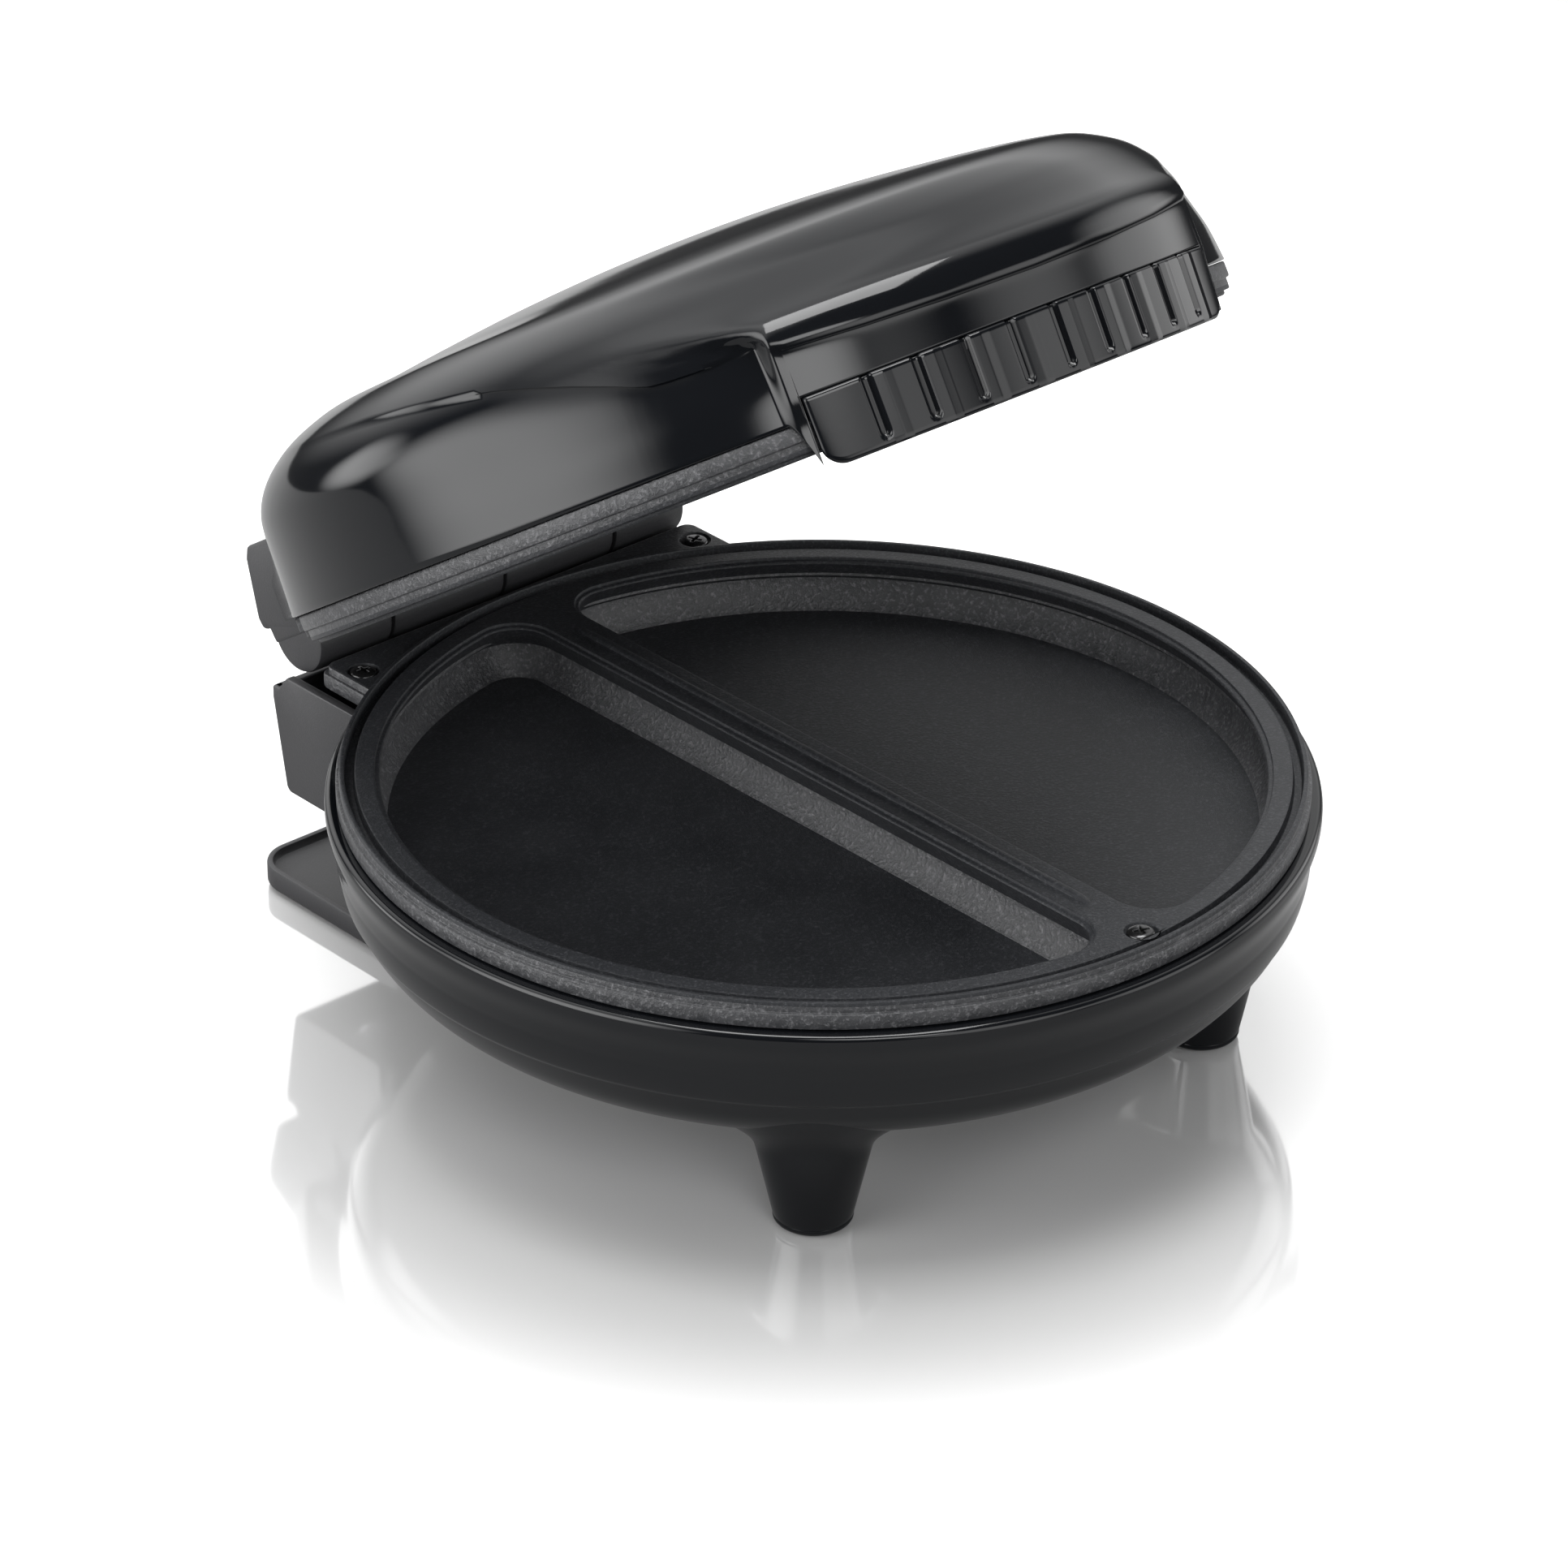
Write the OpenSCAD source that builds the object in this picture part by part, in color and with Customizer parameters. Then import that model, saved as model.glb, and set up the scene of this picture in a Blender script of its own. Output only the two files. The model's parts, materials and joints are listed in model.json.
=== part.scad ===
// Round electric omelette maker: two half-moon wells, domed lid on a rear hinge, shown part open.
// Millimetres. +X to the right seen from the front, +Y to the hinge, +Z up, floor at z = 0.

/* [Cooking plates] */
// Height of the face where the two plates meet, above the floor
mating_h = 65; // [60:1:75]
// Outer radius of both plates at their lower edge
plate_r = 105.3; // [98:0.1:106]
// How far the upper tier of the plate's side is set in
tier_inset = 0.8; // [0.4:0.1:1.5]
// Height of the upper tier of the plate's side
tier_h = 2.4; // [1.5:0.1:3.5]
// Whole height of the plate's side
side_h = 5.9; // [5:0.1:8]
// Width of the thick ring around each plate
rim_w = 7; // [6:0.5:9]
// Depth of the flat land below the mating face
land_drop = 0.8; // [0.4:0.1:1.5]
// Thickness of the flat land
land_t = 3.2; // [2.5:0.1:3.6]
// Distance from the plate's edge to the middle of the sealing groove
groove_in = 3; // [2.6:0.1:4]
// Width of the sealing groove
groove_w = 2.2; // [1.8:0.1:2.6]
// Depth of the sealing groove below the mating face
groove_depth = 2.8; // [2.6:0.1:3.6]
// Height of the upper plate's sealing ridge
ridge_h = 2.2; // [1.5:0.1:2.4]
// Gap between the closed plates
plate_gap = 0.4; // [0.2:0.1:0.8]
// Half width of the rear tab that carries the two rear screws
ear_half_w = 54.2; // [48:0.2:58]
// How far the rear tab reaches past the plate's round edge.
ear_out = 1.3; // [0.8:0.1:1.4]
// How far inside the plate's edge the wells' round wall lies.
well_in = 9.3; // [8.8:0.1:16]
// Width left between the two wells
divider_w = 12; // [8:0.5:20]
// Corner radius of a well seen from above
well_corner_r = 9; // [5:0.5:14]
// Depth of a well below the land
well_depth = 12.5; // [8:0.5:14]
// How far the well's wall leans in over its depth
well_lean = 4; // [2:0.5:7]
// Radius where the well's wall meets its floor
well_fillet = 4; // [2:0.5:5]
// Wall thickness of a well
well_wall = 2.4; // [2:0.1:3]
// Width of the small step around a well
well_step_w = 0.9; // [0.5:0.1:1.5]
// Depth of the small step around a well
well_step_h = 0.7; // [0.4:0.1:1.2]
// Width of the raised line along the divider
divider_line_w = 2.4; // [1.5:0.1:4]

/* [Plate screws] */
// How far inside the plate's edge the front screw stands.
front_screw_in = 7.3; // [7:0.1:8]
// Half distance between the two rear screws
rear_screw_x = 48.6; // [42:0.2:50]
// How far in front of the plate's rear edge the two rear screws stand.
rear_screw_in = 7.3; // [6.8:0.1:9]
// Shank radius of a plate screw
screw_r = 1.85; // [1.5:0.05:2]
// Head radius of a plate screw
screw_head_r = 3.1; // [2.6:0.1:3.6]
// Head height of a plate screw
screw_head_h = 1.6; // [1.2:0.1:2]
// Length of a plate screw under its head
screw_len = 12; // [9:0.5:14]
// Radius of the round recess around a plate screw
screw_recess_r = 4.6; // [4:0.1:5.5]
// Depth of that recess below the land
screw_recess_h = 0.8; // [0.4:0.1:1.4]
// Radius of the screw bosses in both housings
boss_r = 4.2; // [3.6:0.1:5]

/* [Base housing] */
// How far the bowl's lip stands out past the plate.
lip_out = 2.5; // [2:0.1:4]
// Gap between a plate's lower edge and the housing's lip
lip_gap = 0.3; // [0.2:0.1:0.6]
// Wall thickness of the housings
wall = 2.4; // [2:0.1:3]
// How far the bowl's side draws in below its lip.
bowl_side_in = 2; // [1.6:0.1:4]
// Depth of that turn below the mating face
bowl_turn = 18; // [15:0.5:22]
// Depth of the bowl's flat bottom below the mating face
bowl_depth = 41; // [38:0.5:42]
// How far in from its side the bowl's floor turns flat.
bowl_flat_in = 26; // [20:1:34]

/* [Front feet] */
// How far inside the plate's edge the front feet stand.
foot_in = 22.1; // [20:0.1:30]
// Angle of each front foot from the front.
foot_turn = 43.2; // [30:0.2:60]
// Radius of a foot at the bowl
foot_top_r = 13.6; // [11:0.2:16]
// Radius of a foot at its lower end
foot_low_r = 8.4; // [7:0.2:10]
// Height of the rubber tip that shows under a foot
tip_h = 2.5; // [1.5:0.5:4]
// Length of the rubber tip's stem inside the foot
tip_stem = 6; // [4:0.5:10]

/* [Hinge] */
// How far behind the plate's round edge the hinge axis lies.
hinge_out = 10.4; // [10.4:0.1:12]
// How far the hinge axis lies above the mating face.
hinge_rise = 2.4; // [1.6:0.1:3]
// Half length of the hinge
hinge_half_w = 53.6; // [48:0.2:53.8]
// Half length of the base's knuckle between the lid's two knuckles
inner_half_w = 32; // [24:0.5:36]
// Side gap between neighbouring knuckles
knuckle_gap = 0.4; // [0.3:0.1:1]
// Radius of the lid's knuckles
lid_knuckle_r = 8.7; // [8:0.1:8.8]
// Radius of the base's knuckle
base_knuckle_r = 8.5; // [7.5:0.1:8.6]
// Radius of the steel hinge rod
rod_r = 2.5; // [2:0.1:3]
// Running clearance of the rod in its bores
rod_clear = 0.05; // [0.03:0.01:0.1]
// Angle of the lid above its closed position, as shown
open_deg = 33; // [0:1:95]

/* [Hinge housing] */
// Half width of the housing below the hinge
box_half_w = 56.6; // [56.4:0.2:60]
// How far behind the hinge axis the hinge housing's rear wall stands.
box_rear_out = 5.2; // [4.8:0.1:6]
// How far the rear wall leans in at its foot
box_lean = 4.5; // [2:0.5:8]
// Depth of its side walls' upper edge below the mating face
box_top = 7; // [6.8:0.1:9]
// Depth of its rear wall's upper edge below the mating face
box_rear_top = 10.6; // [10.2:0.1:14]
// Depth of its floor below the mating face
box_floor = 36; // [32:0.5:37.5]

/* [Rear foot] */
// Half width of the rear foot's plate
flange_half_w = 57; // [50:1:62]
// How far behind the hinge axis the rear foot reaches.
flange_rear_out = 14.9; // [14:0.1:22]
// How far in front of the hinge axis the rear foot begins.
flange_front_in = 37.7; // [32:0.1:44]
// Corner radius of the rear foot's plate
flange_corner_r = 9; // [4:0.5:14]
// Thickness of the rear foot's plate
flange_t = 3.4; // [2.6:0.2:5]
// Height of the lip around the rear foot's plate
flange_lip_h = 1.4; // [1:0.1:2.5]
// Width of that lip
flange_lip_w = 2; // [1.4:0.1:3]
// Half width of the core that the cord is wound around
core_half_w = 34; // [28:1:40]
// How far in front of the hinge axis the core's rear wall stands.
core_rear_in = 3.2; // [2.4:0.1:7]
// Radius of the rubber pads under the rear foot
pad_r = 6; // [4:0.5:8]
// Height of the rubber pads that shows
pad_h = 1; // [0.6:0.1:2]
// Depth of the pads' seats
pad_seat = 0.8; // [0.4:0.1:1.4]
// Half distance between the rear pads
pad_x = 44; // [38:1:46]
// How far in front of the rear foot's rear edge the pads lie.
pad_in = 9.6; // [9:0.1:14]
// Radius of the bore that the supply cord passes through
inlet_r = 3.6; // [3:0.1:4]
// Half distance between the screws of the rear foot
foot_screw_x = 27; // [20:1:28]
// How far in front of the hinge axis the rear foot's screws stand.
foot_screw_in = 12.2; // [11:0.1:14]
// Length of the screws of the rear foot and of the hinge housing
housing_screw_len = 12; // [9:0.5:14]

/* [Lid housing] */
// Height of the lid's top above the mating face
dome_h = 51.5; // [46:0.1:60]
// How far the dome's lower edge stands out past the plate.
dome_edge_out = 1.3; // [0.6:0.1:2.4]
// How far the dome's side draws in up to its shoulder.
dome_lean = 0.9; // [0.5:0.1:5]
// Height of the shoulder's lower end above the mating face
dome_side_h = 25; // [16:0.5:27]
// How far in from its side the dome's shoulder ends.
dome_flat_in = 35.7; // [30:0.1:44]
// Rise of the crown over the shoulder's top
dome_crown = 5.2; // [3:0.2:9]

/* [Handle] */
// Half angle of the handle seen from above
handle_deg = 32; // [28:1:34]
// How far the finger grip stands out past the plate.
grip_out = 2.3; // [2.2:0.1:4]
// Radial thickness of the fluted grip
grip_t = 2; // [1.8:0.1:2]
// Height of the grip's upper edge above the mating face
grip_top = 12; // [10:0.5:13]
// Depth of the grip's lower edge below the mating face
grip_low = 4.3; // [3:0.1:5.2]
// Angle between neighbouring flutes
flute_deg = 6; // [4:0.1:6.4]
// Number of flutes
flute_count = 9; // [5:1:9]
// Depth of a flute
flute_depth = 1; // [0.6:0.1:1.1]
// Height of the brow's edge above the mating face
brow_h = 20.6; // [19:0.2:23]
// How far the brow stands out past the grip.
brow_over = 0.5; // [0.4:0.1:2]
// Thickness of the brow at its edge
brow_t = 2; // [1.6:0.1:2.6]
// Angle that each end post of the handle takes up
post_deg = 2.6; // [2:0.1:4]
// How far forward the middle of the brow's round lies
brow_shift = 20; // [14:1:26]
// Radius where the brow's round runs into the crown
brow_flat_r = 50; // [40:1:56]

/* [Lid hinge cover] */
// Height of the hinge cover above the mating face
cover_top = 25; // [23:0.5:27]
// How far behind the hinge axis the hinge cover's upper rear edge lies.
cover_top_out = 7.7; // [6:0.1:9]
// How far behind the hinge axis the hinge cover's lower rear edge lies.
cover_low_out = 12; // [10.5:0.1:12.2]
// Height of that foot above the mating face
cover_low = 7; // [6.8:0.1:9]
// How far the lid's rear face lies behind the plate's tab.
lid_rear_out = 0.5; // [0.3:0.1:0.6]
// Half width of the lid's rear part
lid_rear_half_w = 56; // [55:0.2:57]
// Half distance between the screws of the hinge cover
cover_screw_x = 36; // [24:1:42]
// Length of those screws under their heads
cover_screw_len = 12; // [8:0.5:14]

/* [Heating parts] */
// How far inside the wells' round wall the heater's ring runs.
heater_in = 38; // [30:0.5:46]
// Radius of the heater's tube
heater_r = 3.25; // [2.5:0.05:4]
// Gap between heater and plate
heater_gap = 0.2; // [0.1:0.1:0.3]
// Angle that the heater's ring leaves open at the rear
heater_open_deg = 50; // [40:2:70]
// Angle that each of the heater's thin pins takes up
pin_deg = 9; // [5:1:14]
// Radius of the heater's thin pins
pin_r = 1.6; // [1:0.1:2]
// How far inside the wells' round wall the heat shield ends.
shield_in = 6; // [4:0.5:14]
// Thickness of the heat shield
shield_t = 0.8; // [0.6:0.1:1.2]
// Depth of the heat shield below the mating face
shield_depth = 25.6; // [24.4:0.2:27]
// Radius of the post that carries the heat shield
post_r = 4; // [3:0.1:4.4]
// Length of the screws that hold the heat shields
shield_screw_len = 7; // [5:0.5:9]
// Radius of the thermostat
thermostat_r = 8; // [6:0.5:10]
// Height of the thermostat
thermostat_h = 6; // [4:0.5:7]
// Distance of the thermostat and the fuse from the middle
sensor_x = 31; // [26:1:36]
// Radius of the thermal fuse
fuse_r = 2.2; // [1.6:0.1:2.6]
// Length of the thermal fuse
fuse_len = 18; // [12:1:24]
// Radius of the inner leads
lead_r = 1.2; // [0.8:0.1:1.4]
// Half distance between the two leads of a pair
lead_x = 4; // [3:0.5:8]
// Width of the terminal block
terminal_w = 26; // [18:1:32]
// Depth of the terminal block
terminal_d = 12; // [8:1:14]
// Height of the terminal block
terminal_h = 11; // [7:0.5:14]

/* [Hidden] */
round_fn = 96;
small_fn = 32;
thin = 0.01;
over = 1;
slide = 0.3;
ear_y = plate_r + ear_out;
well_r = plate_r - well_in;
front_screw_y = plate_r - front_screw_in;
rear_screw_y = plate_r - rear_screw_in;
lip_r = plate_r + lip_out;
bowl_side_r = lip_r - bowl_side_in;
bowl_flat_r = bowl_side_r - bowl_flat_in;
foot_x = (plate_r - foot_in) * sin(foot_turn);
foot_y = (plate_r - foot_in) * cos(foot_turn);
hinge_y = plate_r + hinge_out;
box_rear_y = hinge_y + box_rear_out;
flange_rear_y = hinge_y + flange_rear_out;
flange_front_y = hinge_y - flange_front_in;
core_rear_y = hinge_y - core_rear_in;
pad_y = flange_rear_y - pad_in;
foot_screw_y = hinge_y - foot_screw_in;
dome_edge_r = plate_r + dome_edge_out;
dome_side_r = dome_edge_r - dome_lean;
dome_flat_r = dome_side_r - dome_flat_in;
grip_r = plate_r + grip_out;
brow_r = grip_r + brow_over;
cover_top_y = hinge_y + cover_top_out;
cover_low_y = hinge_y + cover_low_out;
lid_rear_y = ear_y + lid_rear_out;
heater_ring_r = well_r - heater_in;
shield_r = well_r - shield_in;
gloss = [0.03, 0.03, 0.032];
matt = [0.06, 0.06, 0.062];
coating = [0.075, 0.075, 0.08];
steel = [0.72, 0.72, 0.74];
rubber = [0.04, 0.04, 0.04];
hinge_z = mating_h + hinge_rise;
plate_edge_r = plate_r - tier_inset;
groove_r = plate_r - groove_in;
rim_inner_r = plate_r - rim_w;
land_low = land_drop + land_t;
well_low = land_drop + well_depth + well_wall;
boss_hole_r = screw_r + 0.05;
plate_hole_r = screw_r + 0.35;
head_seat = land_drop + screw_recess_h;
lip_top = side_h + lip_gap;
bowl_lip_h = 2.3;
bowl_inner_r = plate_edge_r - 1;
box_front_y = flange_front_y + 8;
web_front_y = lip_r + 2 * slide;
box_step = 3;
heater_mid = well_low + heater_gap + heater_r;
box_inner_w = box_half_w - wall;
flange_low = pad_h;
flange_top = flange_low + flange_t;
core_top = mating_h - box_floor;
rod_half_len = hinge_half_w - 2;
inner_cut = inner_half_w + knuckle_gap;
pin_x = heater_ring_r * sin(heater_open_deg / 2 - pin_deg);
pin_y = heater_ring_r * cos(heater_open_deg / 2 - pin_deg) + pin_r + lead_r + 0.1;
bush_z = (flange_top + core_top) / 2;
bush_neck_r = inlet_r + 2;
bush_collar_r = inlet_r + 4;
brow_low = brow_h - brow_t;
dome_low = side_h + plate_gap + lip_gap;
front_y = -lip_r;
mid_y = (flange_rear_y + front_y) / 2;
wire_y = hinge_y - 20.7;
cover_hollow_z = hinge_rise + base_knuckle_r + 2.6;
cover_screw_z = cover_top - 8.5;
lid_lead_z = cover_hollow_z + 2.7;

// The footprint's middle stands at the origin.
module placed() {
    translate([0, -mid_y, 0]) children();
}

// Everything on the lid is drawn closed and then swung open about the hinge axis.
module swung_open() {
    placed()
        translate([0, hinge_y, hinge_z])
            rotate([-open_deg, 0, 0])
                translate([0, -hinge_y, -hinge_z])
                    children();
}

// Puts a lower plate's part, drawn down from its mating face, on the base.
module at_mating() {
    translate([0, 0, mating_h]) children();
}

// Turns the same part over, face down, for the lid.
module over_mating() {
    translate([0, 0, mating_h + plate_gap]) mirror([0, 0, 1]) children();
}

// Outline of a plate, drawn in by a given amount: a circle with a square tab at the rear.
module plate_outline(inset) {
    circle(r = plate_r - inset, $fn = round_fn);
    translate([inset - ear_half_w, 0])
        square([2 * (ear_half_w - inset), ear_y - inset]);
}

// Half-moon outline of the well on the +X side, grown by a given amount.
module well_outline(grow) {
    offset(r = well_corner_r + grow, $fn = round_fn)
        offset(delta = -well_corner_r)
            intersection() {
                circle(r = well_r, $fn = round_fn);
                translate([divider_w / 2, -well_r]) square([well_r, 2 * well_r]);
            }
}

// A convex half-moon body from the land down to its floor, with leaning walls and a rounded foot.
module well_body(grow, depth, above) {
    fillet = well_fillet + grow;
    hull() {
        translate([0, 0, above - thin]) linear_extrude(thin) well_outline(grow);
        for (a = [0 : 30 : 90])
            translate([0, 0, -depth + fillet * (1 - sin(a))])
                linear_extrude(thin)
                    well_outline(grow - well_lean * (depth - fillet) / depth - fillet * (1 - cos(a)) * 0.9);
    }
}

module both_wells() {
    children();
    mirror([1, 0, 0]) children();
}

module screw_places() {
    translate([0, -front_screw_y, 0]) children();
    rear_screw_places() children();
}

module rear_screw_places() {
    for (s = [-1, 1]) translate([s * rear_screw_x, rear_screw_y, 0]) children();
}

module foot_screw_places() {
    for (s = [-1, 1]) translate([s * foot_screw_x, foot_screw_y, 0]) children();
}

module lead_places() {
    for (s = [-1, 1]) translate([s * lead_x, wire_y, 0]) children();
}

// A cast plate with its mating face up at z = 0. The upper one has a ridge where the lower has a groove.
module cooking_plate(ridge) {
    difference() {
        union() {
            difference() {
                union() {
                    translate([0, 0, -side_h]) linear_extrude(side_h - tier_h) plate_outline(0);
                    translate([0, 0, -tier_h - over]) linear_extrude(tier_h + over) plate_outline(tier_inset);
                }
                translate([0, 0, -side_h - over])
                    linear_extrude(side_h + over - land_low) plate_outline(rim_w);
                translate([0, 0, -land_drop])
                    linear_extrude(land_drop + over)
                        circle(r = groove_r - groove_w / 2, $fn = round_fn);
                translate([0, 0, -land_drop]) rear_land();
            }
            translate([0, 0, -land_drop]) both_wells() well_body(well_wall, well_low - land_drop, -0.5);
            translate([-divider_line_w / 2, -well_r + divider_w, -land_drop - over])
                cube([divider_line_w, 2 * (well_r - divider_w), land_drop + over]);
            translate([0, 0, -shield_depth]) cylinder(h = shield_depth - land_low + over, r = post_r, $fn = round_fn);
            screw_places() translate([0, 0, -side_h]) cylinder(h = side_h - land_low + over, r = boss_r, $fn = round_fn);
            if (ridge) sealing_ridge();
        }
        if (!ridge) sealing_groove();
        translate([0, 0, -land_drop]) both_wells() well_body(0, well_depth, over);
        translate([0, 0, -land_drop - well_step_h])
            linear_extrude(well_step_h + over)
                both_wells() well_outline(well_step_w);
        screw_places() {
            translate([0, 0, -head_seat]) cylinder(h = head_seat + over, r = screw_recess_r, $fn = round_fn);
            translate([0, 0, -side_h - over]) cylinder(h = side_h + 2 * over, r = plate_hole_r, $fn = round_fn);
        }
        translate([0, 0, -shield_depth - over])
            cylinder(h = shield_screw_len + over, r = boss_hole_r, $fn = round_fn);
    }
}

// The land of the rear tab, outside the sealing ring.
module rear_land() {
    linear_extrude(land_drop + over)
        difference() {
            translate([-ear_half_w - over, 0]) square([2 * (ear_half_w + over), ear_y + over]);
            circle(r = groove_r + groove_w, $fn = round_fn);
        }
}

module sealing_groove() {
    rotate_extrude($fn = round_fn)
        translate([groove_r - groove_w / 2, -groove_depth]) square([groove_w, groove_depth + over]);
}

module sealing_ridge() {
    ridge_w = groove_w - 2 * slide;
    rotate_extrude($fn = round_fn)
        translate([groove_r - ridge_w / 2, -land_low]) square([ridge_w, land_low + ridge_h]);
}

// A cross-head screw standing on z = 0 with its shank below.
module screw(length) {
    slot_w = screw_head_r * 0.32;
    slot_l = screw_head_r * 1.2;
    difference() {
        union() {
            intersection() {
                cylinder(h = screw_head_h, r = screw_head_r, $fn = small_fn);
                translate([0, 0, screw_head_h - 2 * screw_head_r]) sphere(r = 2 * screw_head_r, $fn = round_fn);
            }
            translate([0, 0, -length]) cylinder(h = length + thin, r = screw_r, $fn = small_fn);
        }
        for (a = [0, 90])
            rotate(a)
                translate([-slot_l / 2, -slot_w / 2, screw_head_h - 1]) cube([slot_l, slot_w, over + 1]);
    }
}

// Bowl: half profile from the lip down its leaning side, round the turn and in to the middle.
function bowl_profile(inset) = concat(
    [[0, -lip_top - (inset > 0 ? -over : 0)],
     [lip_r - 1 - inset, -lip_top + (inset > 0 ? over : 0)],
     [lip_r - inset, -lip_top - 1 + (inset > 0 ? over + 1 : 0)]],
    [[lip_r - inset, -lip_top - bowl_lip_h]],
    [for (a = [0 : 10 : 90])
        [bowl_flat_r + (bowl_side_r - bowl_flat_r - inset) * cos(a),
         -bowl_turn - (bowl_depth - bowl_turn - inset) * sin(a)]],
    [[0, -bowl_depth + inset]]);

module bowl_solid(grow) {
    rotate_extrude($fn = round_fn) polygon(bowl_profile(-grow));
}

module bowl_hollow() {
    rotate_extrude($fn = round_fn)
        polygon([for (p = bowl_profile(wall)) [min(p[0], bowl_inner_r), p[1]]]);
}

module foot_places() {
    for (s = [-1, 1]) translate([s * foot_x, -foot_y, 0]) children();
}

// Gloss bowl with its two front feet and the three bosses that the lower plate is screwed to.
module base_housing() color(gloss) placed() {
    shell_low = mating_h - bowl_depth;
    difference() {
        union() {
            difference() {
                union() {
                    at_mating() bowl_solid(0);
                    foot_places()
                        translate([0, 0, tip_h])
                            cylinder(h = shell_low + 8 - tip_h, r1 = foot_low_r, r2 = foot_top_r, $fn = round_fn);
                }
                at_mating() bowl_hollow();
            }
            intersection() {
                at_mating() bowl_solid(0);
                translate([0, -front_screw_y, 0])
                    cylinder(h = mating_h - lip_top, r = boss_r, $fn = round_fn);
            }
            at_mating() rear_screw_places()
                translate([0, 0, wall - box_floor])
                    cylinder(h = box_floor - wall - lip_top, r = boss_r, $fn = round_fn);
        }
        at_mating() screw_places()
            translate([0, 0, -side_h - screw_len]) cylinder(h = screw_len + over, r = boss_hole_r, $fn = round_fn);
        at_mating() rear_screw_places()
            translate([0, 0, -box_floor]) cylinder(h = housing_screw_len + over, r = boss_hole_r, $fn = round_fn);
        foot_places() {
            translate([0, 0, tip_h - over])
                cylinder(h = tip_stem + over + slide, r = foot_low_r - wall, $fn = round_fn);
        }
        lead_places() translate([0, 0, core_top - over]) cylinder(h = 2 * wall + 7, r = lead_r + slide * 2, $fn = small_fn);
    }
}

// Rubber tips that plug into the front feet.
module front_foot_tips() color(rubber) placed()
    foot_places() {
        rotate_extrude($fn = round_fn)
            polygon(concat([[0, 0], [foot_low_r - tip_h, 0]],
                [for (a = [-60 : 30 : 0]) [foot_low_r - tip_h + tip_h * cos(a), tip_h + tip_h * sin(a)]],
                [[foot_low_r - wall - 0.1, tip_h], [foot_low_r - wall - 0.1, tip_h + tip_stem], [0, tip_h + tip_stem]]));
    }

// Matt housing behind the bowl, open at the top, with the base's knuckle on a web.
module hinge_housing() color(matt) placed() {
    floor_low = mating_h - box_floor;
    difference() {
        union() {
            difference() {
                box_block(box_half_w, 0);
                box_hollow();
            }
            translate([0, hinge_y, hinge_z]) rotate([0, 90, 0])
                cylinder(h = 2 * inner_half_w, r = base_knuckle_r, center = true, $fn = round_fn);
            translate([-inner_half_w, web_front_y, floor_low + wall / 2])
                cube([2 * inner_half_w, hinge_y + 1 - web_front_y, box_floor + hinge_rise - base_knuckle_r * 0.5]);
            foot_screw_places()
                translate([0, 0, floor_low + wall / 2]) cylinder(h = 6, r = boss_r, $fn = round_fn);
        }
        at_mating() bowl_solid(slide);
        at_mating() rear_screw_places()
            translate([0, 0, wall - box_floor])
                cylinder(h = box_floor + over, r = boss_r + slide, $fn = round_fn);
        translate([0, hinge_y, hinge_z]) rotate([0, 90, 0])
            cylinder(h = 2 * inner_half_w + 2 * over, r = rod_r + rod_clear, center = true, $fn = round_fn);
        knuckle_seam();
        foot_screw_places()
            translate([0, 0, floor_low - over]) cylinder(h = 8 + 2 * over, r = boss_hole_r, $fn = round_fn);
        rear_screw_places()
            translate([0, 0, floor_low - over]) cylinder(h = wall + 2 * over, r = plate_hole_r, $fn = round_fn);
        lead_places()
            translate([0, 0, floor_low - over]) cylinder(h = wall + 2 * over, r = lead_r + slide * 2, $fn = small_fn);
    }
}

// The dark line round the middle of the base's knuckle, on its upper half only.
module knuckle_seam() {
    seam_w = 0.8;
    translate([0, hinge_y, hinge_z]) rotate([0, 90, 0])
        intersection() {
            difference() {
                cylinder(h = seam_w, r = base_knuckle_r + over, center = true, $fn = round_fn);
                cylinder(h = seam_w + over, r = base_knuckle_r - 0.8, center = true, $fn = round_fn);
            }
            translate([-2 * base_knuckle_r, -base_knuckle_r * 1.5, -seam_w])
                cube([2 * base_knuckle_r, base_knuckle_r * 3, 2 * seam_w]);
        }
}

module box_block(half_w, inset) {
    translate([-half_w, 0, mating_h]) rotate([90, 0, 90])
        linear_extrude(2 * half_w)
            polygon([[box_front_y, inset - box_floor],
                [box_rear_y - box_lean - inset, inset - box_floor],
                [box_rear_y - inset, -box_rear_top - box_step],
                [box_rear_y - inset, -box_rear_top],
                [box_rear_y - wall - inset, -box_rear_top],
                [hinge_y, -box_top],
                [box_front_y, -box_top]]);
}

// The inside of the same housing, open at the top up to its rear wall.
module box_hollow() {
    box_block(box_inner_w, wall);
    translate([-box_inner_w, box_front_y - over, mating_h - box_rear_top - box_step])
        cube([2 * box_inner_w, box_rear_y - wall - box_front_y + over, box_rear_top]);
}

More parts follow.
